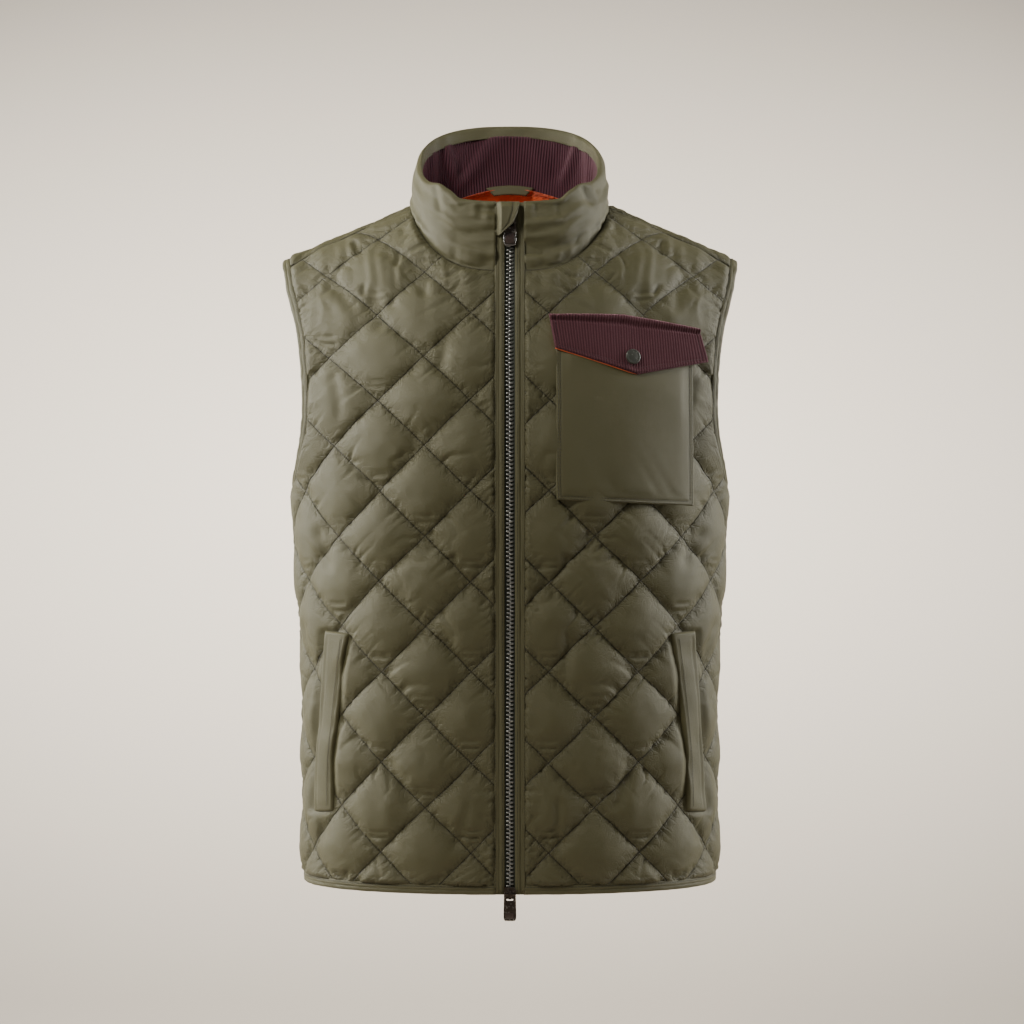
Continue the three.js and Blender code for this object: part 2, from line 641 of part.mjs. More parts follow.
// A slider: two plates with the chain between them, a post where the chain parts, and on the
// front plate a bridge that holds the pull's bar
const SLIDER = {
  width: 11.5, height: 11, plate: 1.6, front: 2.2, back: -3.8,
  post: { width: 2.2, height: 3, inset: 0.4, sunk: 0.3 },
};
const BRIDGE = { width: 2.6, half: 3.9, window: 2.3, windowHeight: 4.4, height: 5.7, drop: 1.6 };
const PULL = {
  axis: 2.6, width: 11.4, foot: 12.4, above: 1.1, below: 24.5, thick: 2, slot: 6.4, slotEnd: 5.2,
};
function sliderGeometry(mouthUp) {
  const { width, height, plate, front, back, post } = SLIDER;
  const outline = new THREE.Shape([
    [-width / 2 + 1.6, -height / 2], [width / 2 - 1.6, -height / 2], [width / 2, -height / 2 + 3],
    [width / 2, height / 2 - 2], [width / 2 - 1.2, height / 2], [-width / 2 + 1.2, height / 2],
    [-width / 2, height / 2 - 2], [-width / 2, -height / 2 + 3],
  ].map(([x, z]) => new THREE.Vector2(x, mouthUp ? z : -z)));
  const plateSolid = (y) => {
    const slab = new THREE.ExtrudeGeometry(outline, { depth: plate, bevelEnabled: false });
    return toSolid(slab.rotateX(Math.PI / 2), 0, y, 0);
  };
  const postZ = (mouthUp ? 1 : -1) * (height / 2 - post.height / 2 - post.inset);
  const postSolid = toSolid(new THREE.BoxGeometry(post.width, front - back + 2 * post.sunk, post.height),
    0, -(front + back) / 2, postZ);
  const arch = new THREE.Shape();
  const { half, window, windowHeight, height: top } = BRIDGE;
  arch.moveTo(-half, -0.3).lineTo(-window, -0.3).lineTo(-window, windowHeight).lineTo(window, windowHeight);
  arch.lineTo(window, -0.3).lineTo(half, -0.3).lineTo(half, top - 1.6).lineTo(half - 1.4, top);
  arch.lineTo(-half + 1.4, top).lineTo(-half, top - 1.6).closePath();
  const bridge = new THREE.ExtrudeGeometry(arch, { depth: BRIDGE.width, bevelEnabled: false });
  bridge.translate(0, 0, -BRIDGE.width / 2).rotateY(Math.PI / 2).rotateX(Math.PI);
  const bridgeSolid = toSolid(bridge, 0, -front - plate, -BRIDGE.drop);
  return fromSolid(plateSolid(-front).add(plateSolid(-back + plate)).add(postSolid).add(bridgeSolid));
}
function pullGeometry() {
  const { width, foot, above, below, thick, slot, slotEnd } = PULL;
  const outline = new THREE.Shape([
    [-width / 2 + 1, above], [width / 2 - 1, above], [width / 2, above - 1], [foot / 2, -below + 2],
    [foot / 2 - 0.6, -below + 0.6], [foot / 2 - 2, -below], [-foot / 2 + 2, -below],
    [-foot / 2 + 0.6, -below + 0.6], [-foot / 2, -below + 2], [-width / 2, above - 1],
  ].map(([x, z]) => new THREE.Vector2(-x, z)));
  outline.holes.push(new THREE.Path([
    [-slot / 2, -above + 0.1], [slot / 2, -above + 0.1], [slot / 2, -slotEnd], [-slot / 2, -slotEnd],
  ].map(([x, z]) => new THREE.Vector2(x, z))));
  const tab = new THREE.ExtrudeGeometry(outline, { depth: thick, bevelEnabled: false });
  return fromSolid(toSolid(tab.translate(0, 0, -thick / 2).rotateX(Math.PI / 2)));
}
const HARDWARE = [
  { place: 'top', z: TOP_PULL_Z, mouthUp: true },
  { place: 'bottom', z: BOTTOM_PULL_Z, mouthUp: false },
];
for (const { place, z, mouthUp } of HARDWARE) {
  const y = centreY(z);
  const slider = addMesh(`${place}_slider`, sliderGeometry(mouthUp), 0x2f2b27, 0.35, 0.6);
  slider.rotation.x = -Math.atan(centreSlope(z));
  slider.position.set(0, y, z).add(new THREE.Vector3(0, 0, BRIDGE.drop).applyEuler(slider.rotation));
  const reach = SLIDER.front + SLIDER.plate + PULL.axis;
  const normal = new THREE.Vector3(0, -1, 0).applyEuler(slider.rotation);
  const pull = addMesh(`${place}_pull`, pullGeometry(), 0x2d231e, 0.3, 0.2);
  pull.position.set(0, y, z).addScaledVector(normal, reach);
}

// A guard over the top of the zip, sewn down its edge on the wearer's right
const GUARD = [
  { z: 15, right: 9.4, lift: 5 },
  { z: 6, right: 8.6, lift: 10.1 },
  { z: 0, right: 7.4, lift: 10.3 },
  { z: -10, right: 3.1, lift: 10.5 },
  { z: -16, right: -3.6, lift: 10.3 },
  { z: -21.6, right: -10.2, lift: 7 },
];
const GUARD_SEAM = { x: -12.4, lift: 2, thick: 1.5 };
function guardPoint(u, v, extra) {
  const z = mix(GUARD.at(-1).z, GUARD[0].z, v);
  const x = mix(GUARD_SEAM.x, between(GUARD, 'z', 'right', z), u);
  const reach = clamp((x - GUARD_SEAM.x) / 5, 0, 1);
  const lift = mix(GUARD_SEAM.lift, between(GUARD, 'z', 'lift', z), ease(reach)) + extra;
  return new THREE.Vector3(x, centreY(z) - lift, z);
}
addMesh('chin_guard', gridWall(8, 8, (u, v) => guardPoint(u, v, 0),
  (u, v) => guardPoint(u, v, GUARD_SEAM.thick)), COLOURS.olive);

// Pieces laid on the wearer's left front: places are given in the front view
const onFront = (x, z, lift) => frontSkin(x, z).addScaledVector(normalOf(frontSkin, x, z), lift);
const FLAP_TOP = [
  { u: 0, x: 36.5, z: -102.5 }, { u: 0.46, x: 106.5, z: -102 }, { u: 1, x: 179.5, z: -113.5 },
];
const FLAP_FOOT = [
  { u: 0, x: 42, z: -134.5 }, { u: 0.54, x: 119.5, z: -159.5 }, { u: 0.9, x: 170.5, z: -149 },
  { u: 1, x: 187.5, z: -145.5 },
];
const PATCH = { left: 43.5, right: 174.5, top: -122, footLeft: -278.5, footRight: -284 };
const LAYERS = { patch: 6.4, flapLining: 8.6, flap: 10.2, cloth: 1.6, thin: 1.1 };
function addLaid(name, color, place, inner, thick, columns, rows) {
  const point = (u, v, lift) => onFront(...place(u, v), lift);
  addMesh(name, gridWall(columns, rows, (u, v) => point(u, v, inner),
    (u, v) => point(u, v, inner + thick)), color);
}
const flapPlace = (u, v) => ['x', 'z'].map((key) =>
  mix(between(FLAP_FOOT, 'u', key, u), between(FLAP_TOP, 'u', key, u), v));
const patchPlace = (u, v) => [mix(PATCH.left, PATCH.right, u),
  mix(mix(PATCH.footLeft, PATCH.footRight, u), PATCH.top, v)];
const flapLiningPlace = (u, v) => {
  const [x, z] = flapPlace(u, mix(0, 0.92, v));
  return [x, z - 2 * (1 - v)];
};
addLaid('chest_pocket', COLOURS.olive, patchPlace, LAYERS.patch, LAYERS.cloth, 8, 8);
addLaid('flap_lining', COLOURS.orange, flapLiningPlace, LAYERS.flapLining, LAYERS.thin, 12, 3);
addLaid('pocket_flap', COLOURS.plum, flapPlace, LAYERS.flap, LAYERS.cloth, 12, 3);

// Welts of the two hand pockets, slanted, on both fronts
const WELT = [
  { z: -408, inner: 154.5, outer: 177 },
  { z: -445, inner: 160, outer: 179.5 },
  { z: -490, inner: 165, outer: 182 },
  { z: -530, inner: 169, outer: 185 },
  { z: -581, inner: 170, outer: 188 },
];
const weltPlace = (u, v) => {
  const z = mix(WELT.at(-1).z, WELT[0].z, v);
  return [mix(between(WELT, 'z', 'inner', z), between(WELT, 'z', 'outer', z), u), z];
};
for (const [name, mirrored] of [['hand_welt_left', false], ['hand_welt_right', true]]) {
  const point = (u, v, lift) => onFront(...weltPlace(u, v), lift);
  addMesh(name, gridWall(3, 8, (u, v) => point(u, v, LAYERS.patch),
    (u, v) => point(u, v, LAYERS.patch + 2), mirrored), COLOURS.olive);
}

// The cap of the flap's snap fastener
const SNAP = { x: 114.6, z: -143, radius: 7.5, rim: 1.1, dome: 2.6 };
const snapProfile = [[0, 0], [SNAP.radius, 0], [SNAP.radius, SNAP.rim], [SNAP.radius - 1, SNAP.rim + 0.7],
  [SNAP.radius - 2.2, SNAP.dome - 0.5], [SNAP.radius / 2, SNAP.dome], [0, SNAP.dome]];
const snapGeometry = new THREE.LatheGeometry(snapProfile.map(([r, h]) => new THREE.Vector2(r, h)), 20);
const snap = addMesh('snap_cap', snapGeometry, 0x33352f, 0.4, 0.3);
const snapNormal = normalOf(frontSkin, SNAP.x, SNAP.z);
snap.position.copy(onFront(SNAP.x, SNAP.z, LAYERS.flap + LAYERS.cloth + 0.5));
snap.quaternion.setFromUnitVectors(new THREE.Vector3(0, 1, 0), snapNormal);

export default vest;
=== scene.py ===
import bpy
import numpy as np
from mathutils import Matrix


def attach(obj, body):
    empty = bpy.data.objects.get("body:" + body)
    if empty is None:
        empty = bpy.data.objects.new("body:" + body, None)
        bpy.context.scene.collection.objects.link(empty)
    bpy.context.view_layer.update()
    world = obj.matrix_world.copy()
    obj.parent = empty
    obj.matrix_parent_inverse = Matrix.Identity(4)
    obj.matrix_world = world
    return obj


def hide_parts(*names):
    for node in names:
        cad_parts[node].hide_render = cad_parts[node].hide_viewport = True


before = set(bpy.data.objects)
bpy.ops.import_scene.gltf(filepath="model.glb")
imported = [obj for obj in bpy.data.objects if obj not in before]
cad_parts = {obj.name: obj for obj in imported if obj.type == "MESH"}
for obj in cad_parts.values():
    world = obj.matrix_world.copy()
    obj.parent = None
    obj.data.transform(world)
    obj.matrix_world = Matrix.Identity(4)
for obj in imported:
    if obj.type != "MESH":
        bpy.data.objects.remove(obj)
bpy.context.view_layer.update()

# The studio: a pale paper sweep that runs from the floor up behind the vest, a large soft lamp at
# the upper left and in front, a weaker one at the right, and a level camera three metres away.
MM = 0.001
CAMERA = (0.002, -3.0, -0.290)
FRAME_WIDTH, SENSOR = 1.024, 36.0
PAPER = (0.93, 0.835, 0.70)
# How the paper's painted shade darkens it away from the middle of the picture: its spread across and up, its lift,
# where the full colour ends, and the darkest share.
PAPER_PAINTED_SHADE = {"across": 0.55, "up": 0.85, "raised": 0.05, "bright_from": 0.82, "darkest": 0.03}
SWEEP = {"floor": -0.95, "back": 1.9, "bend": 0.9, "front": -5.0, "half": 5.0, "top": 5.0}
LAMPS = {  # place, what it points at, size, power and colour
    "key_lamp": ((-1.12, -1.12, 1.05), (0.02, 0, -0.20), 0.65, 40, (1.0, 0.97, 0.90)),
    "fill_lamp": ((2.1, -2.2, 0.0), (0, 0, -0.30), 2.2, 2.2, (0.95, 0.97, 1.0)),
    "left_wall_lamp": ((-2.3, 0.5, 0.4), (0.3, 1.9, -0.25), 1.6, 172, (1.0, 0.985, 0.97)),
    "right_wall_lamp": ((2.3, 0.5, 0.4), (-0.3, 1.9, -0.25), 1.6, 134, (1.0, 0.985, 0.97)),
}


def add_mesh(name, points, faces):
    """A mesh object from points in millimetres and a list of face arrays, each with one width."""
    mesh = bpy.data.meshes.new(name)
    points = np.asarray(points, dtype=np.float64).reshape(-1, 3) * MM
    sides = np.concatenate([np.full(len(f), f.shape[1]) for f in faces])
    corners = np.concatenate([np.asarray(f).ravel() for f in faces])
    mesh.vertices.add(len(points))
    mesh.vertices.foreach_set("co", points.ravel())
    mesh.loops.add(len(corners))
    mesh.loops.foreach_set("vertex_index", corners.astype(np.int32))
    mesh.polygons.add(len(sides))
    mesh.polygons.foreach_set("loop_start", np.concatenate([[0], np.cumsum(sides)[:-1]]).astype(np.int32))
    mesh.update(calc_edges=True)
    mesh.polygons.foreach_set("use_smooth", np.ones(len(sides), dtype=bool))
    piece = bpy.data.objects.new(name, mesh)
    bpy.context.scene.collection.objects.link(piece)
    return piece


def grid_faces(columns, rows, start=0):
    """Four-sided faces of a grid of points that is stored row by row."""
    at = start + np.arange(rows * columns).reshape(rows, columns)
    return np.stack([at[:-1, :-1], at[:-1, 1:], at[1:, 1:], at[1:, :-1]], axis=-1).reshape(-1, 4)


def paper_sweep():
    """A level floor, a quarter circle and an upright wall, drawn along one profile."""
    turn = np.linspace(0, np.pi / 2, 24)
    low, bend, back = SWEEP["floor"], SWEEP["bend"], SWEEP["back"]
    y = np.concatenate([[SWEEP["front"]], back - bend + bend * np.sin(turn), [back]])
    z = np.concatenate([[low], low + bend - bend * np.cos(turn), [SWEEP["top"]]])
    points = np.stack([np.stack([np.full_like(y, x), y, z], axis=-1) for x in (SWEEP["half"], -SWEEP["half"])])
    return add_mesh("paper_sweep", points / MM, [grid_faces(len(y), 2)])


def new_material(name):
    """An empty material with a Principled shader; gives the material, its nodes and a link call."""
    material = bpy.data.materials.new(name)
    material.use_nodes = True
    nodes = material.node_tree.nodes
    return material, nodes, nodes["Principled BSDF"], material.node_tree.links.new


def set_inputs(node, **inputs):
    """Sets a node's plain inputs by name, with an underscore for each space; gives the node."""
    for name, value in inputs.items():
        node.inputs[name.replace("_", " ")].default_value = value
    return node


def add_node(nodes, kind, **inputs):
    """A shader node of a kind with its plain inputs set."""
    return set_inputs(nodes.new("ShaderNode" + kind), **inputs)


def paper_material():
    """Matt paper with painted shade that darkens it away from the middle of the picture, and clear when seen from
    behind.
    """
    material, nodes, shader, link = new_material("studio_paper")
    wide, tall = PAPER_PAINTED_SHADE["across"], PAPER_PAINTED_SHADE["up"]
    place = add_node(nodes, "Mapping", Location=(0, 0, -tall * CAMERA[2] - PAPER_PAINTED_SHADE["raised"]), Scale=(wide, 0, tall))
    ball = add_node(nodes, "TexGradient")
    ball.gradient_type = "SPHERICAL"
    share = add_node(nodes, "MapRange", From_Max=PAPER_PAINTED_SHADE["bright_from"])
    # A ramp from the painted shade at the edges to the full paper colour in the middle.
    ramp = add_node(nodes, "Mix")
    ramp.data_type = "RGBA"
    ramp.inputs["A"].default_value = (*[c * PAPER_PAINTED_SHADE["darkest"] for c in PAPER], 1)
    ramp.inputs["B"].default_value = (*PAPER, 1)
    link(add_node(nodes, "TexCoord").outputs["Object"], place.inputs["Vector"])
    link(place.outputs["Vector"], ball.inputs["Vector"])
    link(ball.outputs["Fac"], share.inputs["Value"])
    link(share.outputs["Result"], ramp.inputs["Factor"])
    link(ramp.outputs["Result"], shader.inputs["Base Color"])
    set_inputs(shader, Roughness=0.95, Specular_IOR_Level=0.1)
    sides = add_node(nodes, "MixShader")
    link(add_node(nodes, "NewGeometry").outputs["Backfacing"], sides.inputs[0])
    link(shader.outputs[0], sides.inputs[1])
    link(add_node(nodes, "BsdfTransparent").outputs[0], sides.inputs[2])
    link(sides.outputs[0], nodes["Material Output"].inputs["Surface"])
    return material


sweep = paper_sweep()
sweep.data.materials.append(paper_material())

camera = bpy.data.objects.new("camera", bpy.data.cameras.new("camera"))
camera.location = CAMERA
camera.rotation_euler = (np.pi / 2, 0, 0)
camera.data.sensor_width = SENSOR
camera.data.lens = SENSOR * -CAMERA[1] / FRAME_WIDTH
bpy.context.scene.collection.objects.link(camera)
bpy.context.scene.camera = camera

for name, (place, target, size, power, colour) in LAMPS.items():
    lamp = bpy.data.objects.new(name, bpy.data.lights.new(name, "AREA"))
    lamp.data.shape, lamp.data.size, lamp.data.energy, lamp.data.color = "DISK", size, power, colour
    lamp.location = place
    away = lamp.location - type(lamp.location)(target)
    lamp.rotation_euler = away.to_track_quat("Z", "Y").to_euler()
    bpy.context.scene.collection.objects.link(lamp)

world = bpy.data.worlds.new("studio")
world.use_nodes = True
set_inputs(world.node_tree.nodes["Background"], Color=(1.0, 0.985, 0.97, 1), Strength=0.15)
bpy.context.scene.world = world

# The quilted fronts and back: a peached olive shell, padded and sewn through in diamonds to a
# backing. The panels are cut flat, joined at the sides and shoulders, and filled out by the body.
HEM, UNDERARM, HEM_SEAM = -657.0, -273.0, -648.6
ROUND = 2.2
WAIST, TIP = 205.0, 250.0
DEPTH = {"front": 129.0, "back": 112.0}
BODY_Z = (-657, -480, -273)
BODY = {"width": (204, 204, 214), "front": (129, 129, 132), "back": (116, 109, 121)}
YOKE_SHARE, YOKE_WIDTH = (0, 0.3, 0.7, 0.85, 1), (214, 231, 242, 250, 250)
NECK_X, NECK_Z, NECK_Y = 97.0, 15.0, -5.0
NECK_DEPTH, NECK_ROUND = {"front": 87.0, "back": 70.0}, {"front": 2.6, "back": 2.0}
SLOPE, RIDGE_Y, SHOULDER_Y, YOKE_START = 0.423, 5.0, -15.0, 150.0
RIDGE_RISE, RIDGE_LIFT, RIDGE_SHIFT = 20.0, {"front": 0.0, "back": 15.0}, {"front": 0.0, "back": 40.0}
ARMHOLE = {"corner": 0.35, "depth": 0.45, "front": 0.08, "back": 0.04}
FACING = {"front": -1, "back": 1}
ZIP_HALF = 13.5
UNIT = 62  # millimetres in a whole step of a quilting coordinate
DIAMOND = {"across": 44.5, "up": 43.5, "puff": 7.0, "front": 37.5, "back": 0.0, "row": -269.5}
GAUSS = ((0.04691, 0.11846), (0.23077, 0.23931), (0.5, 0.28444), (0.76923, 0.23931), (0.95309, 0.11846))


def ease(t):
    """3t^2 - 2t^3 between 0 and 1, flat outside."""
    t = np.clip(t, 0, 1)
    return t * t * (3 - 2 * t)


def body_size(column, z):
    """A size of the body between its rows, eased from row to row."""
    row = np.interp(z, BODY_Z, range(3))
    return np.interp(np.floor(row) + ease(row - np.floor(row)), range(3), BODY[column])


def quarter_arc(depth):
    """Running length along (x/205)^2.2 + (y/depth)^2.2 = 1 from its middle to its side."""
    angle = np.linspace(0, np.pi / 2, 901)
    side, face = np.sin(angle) ** (2 / ROUND), np.cos(angle).clip(0) ** (2 / ROUND)
    step = np.hypot(np.diff(WAIST * side), np.diff(depth * face))
    return np.concatenate([[0], np.cumsum(step)]), side, face


ARC = {face: quarter_arc(depth) for face, depth in DEPTH.items()}
QUARTER = {face: ARC[face][0][-1] for face in ARC}


def across(side, width):
    """Distance from the middle plane: 205 side + (width - 205) side^4."""
    return WAIST * side + (width - WAIST) * side ** 4


def full_of(side):
    """The share of the depth that goes with a share of the width on the body's section."""
    return np.clip(1 - side ** ROUND, 0, 1) ** (1 / ROUND)


def climb(face, side, full):
    """The quarter ellipse of a column over the shoulder: ridge y, rise and run."""
    x = across(side, TIP)
    inner = np.clip(1 - (x / NECK_X) ** 2, 0, 1)
    y = RIDGE_Y + RIDGE_SHIFT[face] * inner
    z = NECK_Z - SLOPE * np.clip(x - NECK_X, 0, None) + RIDGE_RISE * inner + RIDGE_LIFT[face] * inner ** 2
    return y, z - UNDERARM, FACING[face] * body_size(face, UNDERARM) * full - y


def climb_length(rise, run, turn):
    """Length of the quarter ellipse from the armhole's level to an angle, by five-point sums."""
    return turn * sum(w * np.hypot(rise * np.cos(at * turn), run * np.sin(at * turn)) for at, w in GAUSS)


def over_shoulder(face, side, full, length):
    """The place at a length of cloth up a column, and down the other side past the ridge."""
    other = "front" if face == "back" else "back"
    here, there = climb(face, side, full), climb(other, side, full)
    whole, beyond = (climb_length(rise, run, np.pi / 2) for _, rise, run in (here, there))
    past = length > whole
    y, rise, run = (np.where(past, b, a) for a, b in zip(here, there))
    target = np.where(past, np.clip(beyond + whole - length, 0, None), length)
    turn = target / np.where(past, beyond, whole) * np.pi / 2
    for _ in range(6):
        speed = np.clip(np.hypot(rise * np.cos(turn), run * np.sin(turn)), 1, None)
        turn = np.clip(turn - (climb_length(rise, run, turn) - target) / speed, 0, np.pi / 2)
    share = np.sin(turn)
    return across(side, np.interp(share, YOKE_SHARE, YOKE_WIDTH)), y + run * np.cos(turn), UNDERARM + rise * share


def skin(face, along, up):
    """The body's surface by cloth places: how far across from the middle and how far up."""
    length, sides, faces = ARC[face]
    reach = np.minimum(np.abs(along), QUARTER[face])
    side, full = np.interp(reach, length, sides), np.interp(reach, length, faces)
    high = over_shoulder(face, side, full, np.clip(up - UNDERARM, 0, None))
    low = (across(side, body_size("width", up)), FACING[face] * body_size(face, up) * full, up)
    x, y, z = (np.where(up > UNDERARM, a, b) for a, b in zip(high, low))
    return np.stack([-FACING[face] * np.sign(along) * x, y, z], axis=-1)


def skin_normal(face, along, up):
    """The outward normal: change across the cloth crossed with change up it."""
    da = skin(face, along + 1, up) - skin(face, along - 1, up)
    db = skin(face, along, up + 1) - skin(face, along, up - 1)
    normal = np.cross(da, db)
    return normal / np.linalg.norm(normal, axis=-1, keepdims=True)


def neck_edge(p):
    """Distance outside the neck's oval, which is rounder behind than in front."""
    front = p[..., 1] < NECK_Y
    depth = np.where(front, NECK_DEPTH["front"], NECK_DEPTH["back"])
    power = np.where(front, NECK_ROUND["front"], NECK_ROUND["back"])
    ring = np.abs(p[..., 0] / NECK_X) ** power + np.abs((p[..., 1] - NECK_Y) / depth) ** power
    return (ring ** (1 / power) - 1) * depth


def armhole_share(face, share):
    """The share of the body's depth where the armhole's edge lies, by share of the climb."""
    corner = 1 - np.clip(share / ARMHOLE["corner"], 0, 1)
    return ARMHOLE["depth"] * np.sqrt(1 - corner ** 2) + ARMHOLE[face] * np.sin(np.pi * share)


def armhole_edge(face, along, up, p):
    """Distance inside the armhole's edge, measured in the body's depth."""
    length, sides, faces = ARC[face]
    reach = np.minimum(np.abs(along), QUARTER[face])
    side, full = np.interp(reach, length, sides), np.interp(reach, length, faces)
    rise = climb(face, side, full)[1]
    share = np.clip((p[..., 2] - UNDERARM) / rise, 0, 1)
    return np.where(up <= UNDERARM, 60, (full - armhole_share(face, share)) * body_size(face, UNDERARM))


def panel_edges(face, along, up, past_neck=0.0):
    """Distances inside each curved edge of a panel: shoulder, neck and armhole."""
    p = skin(face, along, up)
    shoulder = np.where(up < UNDERARM + YOKE_START, 60, FACING[face] * (p[..., 1] - SHOULDER_Y) - 0.15)
    return np.stack([shoulder, neck_edge(p) + past_neck, armhole_edge(face, along, up, p)])


def noise(x, y, seed):
    """Smooth uneven field from -1 to 1: a scattered value on each whole place, eased between."""
    i, j = np.floor(x), np.floor(y)
    value = lambda p, q: 2 * ((np.sin(p * 127.1 + q * 311.7 + seed * 74.7) * 43758.5453) % 1) - 1
    s, t = ease(x - i), ease(y - j)
    low = value(i, j) * (1 - s) + value(i + 1, j) * s
    high = value(i, j + 1) * (1 - s) + value(i + 1, j + 1) * s
    return low * (1 - t) + high * t


def diamonds(face, along, up):
    """Quilting coordinates: both are whole numbers on the seams, which wander a little."""
    drift = [1.5 * noise(along / 60, up / 60, seed) + 0.45 * noise(along / 13, up / 13, seed + 1) for seed in (3, 8)]
    i = (along + drift[0] - np.sign(along) * DIAMOND[face]) / DIAMOND["across"]
    j = (up + drift[1] - DIAMOND["row"]) / DIAMOND["up"]
    return (i + j) / 2, (i - j) / 2


def puckers(seam, run, seed):
    """Wrinkles that leave a seam square and die away: a soft wave, and sharp valleys along the
    zero lines of a noise, uneven in reach and depth."""
    away = np.abs(seam - np.round(seam)) * UNIT
    row = np.round(seam) * 7.3 + seed + np.where(seam > np.round(seam), 3.1, 0)
    reach = 7 + 5 * noise(run * 2.3, row, seed + 1)
    wave = noise(run * 11 + 0.25 * noise(away / 6, row, 5), row, seed)
    valley = np.clip(1 - np.abs(noise(run * 5.5, row + away / 40, seed + 4)) / 0.26, 0, 1) ** 2
    far = 3.5 + 13 * np.clip(noise(run * 1.6, row, seed + 9), 0, 1)
    return (0.8 * wave * np.exp(-away / reach) - 3.6 * valley * np.exp(-away / far)) * (1 - np.exp(-away / 1.4))


def sags(u, w):
    """Small smiles near the lower corner of each diamond, where the padding sinks on its seams."""
    p, q = u - np.floor(u), w - np.floor(w)
    up_share, side_share = p - q, p + q - 1
    random = (noise(np.floor(u) * 2.7 + 0.5, np.floor(w) * 3.9 + 0.5, 15),
              noise(np.floor(u) * 1.9, np.floor(w) * 4.3, 16))
    height = np.zeros_like(u)
    strength = np.clip(0.5 + 1.7 * random[0], 0, 2) * ease(1.6 - 6 * np.abs(side_share))
    for place, depth in ((-0.70 + 0.07 * random[0], 1.7), (-0.56 + 0.09 * random[1], 1.2)):
        line = up_share - place - (0.55 + 0.2 * random[1]) * side_share ** 2 - 0.1 * random[0] * side_share
        height -= depth * strength * np.exp(-(line / 0.035) ** 2)
    return height


def quilting(face, along, up, edge):
    """Height of the padded shell: a dome in each diamond, fading at the panel's edges."""
    u, w = diamonds(face, along, up)
    fullness = 1 + 0.13 * noise(np.floor(u) * 3.7 + 0.5, np.floor(w) * 5.1 + 0.5, 2)
    fullness = fullness - 0.3 * ease((up + 190) / 150)
    flatter = (1 - 0.22 * ease((np.abs(along) / QUARTER[face] - 0.75) / 0.25)) * (0.75 + 0.25 * ease(edge / 40))
    dome = np.abs(np.sin(np.pi * u) * np.sin(np.pi * w)) ** 0.45
    hung = 1.2 * noise(along / 5.5 + 0.6 * noise(along / 30, up / 30, 21), up / 55, 22) * ease((up + 150) / 110)
    wrinkle = puckers(u, w, 11) + puckers(w, u, 29) + sags(u, w) + (0.6 * noise(along / 13, up / 13, 6) + hung) * dome
    run = along + up * 1.7
    short = noise(edge / 22, run / 7.5, 17) + 0.6 * noise(edge / 9, run / 4.2, 18)
    sharp = np.clip(1 - np.abs(noise(edge / 30, run / 12, 19)) / 0.24, 0, 1) ** 2
    border = (0.8 * short - 3.4 * sharp) * np.exp(-edge / (8 + 5 * noise(up / 24, along / 24, 20))) * ease(edge / 2)
    return (DIAMOND["puff"] * fullness * flatter * dome + wrinkle) * ease(edge / 4.0) ** 0.8 + border


CREASES = {  # soft folds: from, to (along, up), half width, depth; a negative depth is a ridge
    "front": [
        (146, -6, 143, -30, 2.4, 2.9), (105, -24, 110, -46, 2.2, 2.7), (72, -14, 70, -40, 2.4, 2.6),
        (100, 14, 99, -4, 2.4, 2.4), (140, -62, 137, -78, 2.4, 2.2),
        (85, -30, 78, -84, 6, 2.6), (128, -60, 122, -120, 6, 2.2), (165, -50, 150, -100, 6, 2.4),
        (60, -110, 72, -160, 6, 1.9), (172, -150, 160, -205, 6, 2.2), (90, -200, 104, -262, 6, 1.6),
        (200, -300, 170, -352, 7, 2.6), (226, -390, 205, -455, 7, 2.2), (62, -395, 48, -452, 6, 1.6),
        (120, -520, 96, -580, 6, 2.1), (215, -560, 190, -618, 7, 1.9), (40, -560, 52, -620, 5, 1.6),
    ],
    "back": [
        (-120, -10, -114, -46, 3, 2.9), (62, -4, 66, -40, 3, 2.6), (-60, 8, -56, -24, 3, 2.4),
        (120, -30, 124, -70, 3, 2.6),
        (-120, -30, -112, -96, 6, 2.6), (40, -40, 52, -104, 6, 2.2), (150, -110, 138, -176, 7, 2.4),
        (-60, -170, -72, -236, 6, 2.1), (-205, -290, -176, -350, 8, 2.6), (200, -300, 172, -352, 8, 2.2),
        (96, -400, 84, -470, 7, 1.9), (-30, -420, -44, -486, 6, 1.8), (-150, -500, -128, -566, 7, 2.1),
        (30, -560, 44, -622, 6, 1.6), (208, -540, 190, -604, 7, 2.1),
    ],
}


def folds(face, along, up, seed):
    """Soft troughs at listed places: each a bell across its line that fades at both ends."""
    height = np.zeros_like(along)
    for k, (a0, b0, a1, b1, half, depth) in enumerate(CREASES[face]):
        run = np.array([a1 - a0, b1 - b0])
        length = np.hypot(*run)
        ahead = ((along - a0) * run[0] + (up - b0) * run[1]) / length
        bend = 0.6 * half * np.sin(ahead / length * np.pi + k + seed)
        aside = ((along - a0) * run[1] - (up - b0) * run[0]) / length - bend
        ends = ease(ahead / (2.4 * half)) * ease((length - ahead) / (2.4 * half))
        height -= depth * ends * np.exp(-(aside / half) ** 2) * (1 + 0.3 * noise(ahead / 20, k, seed))
    return height


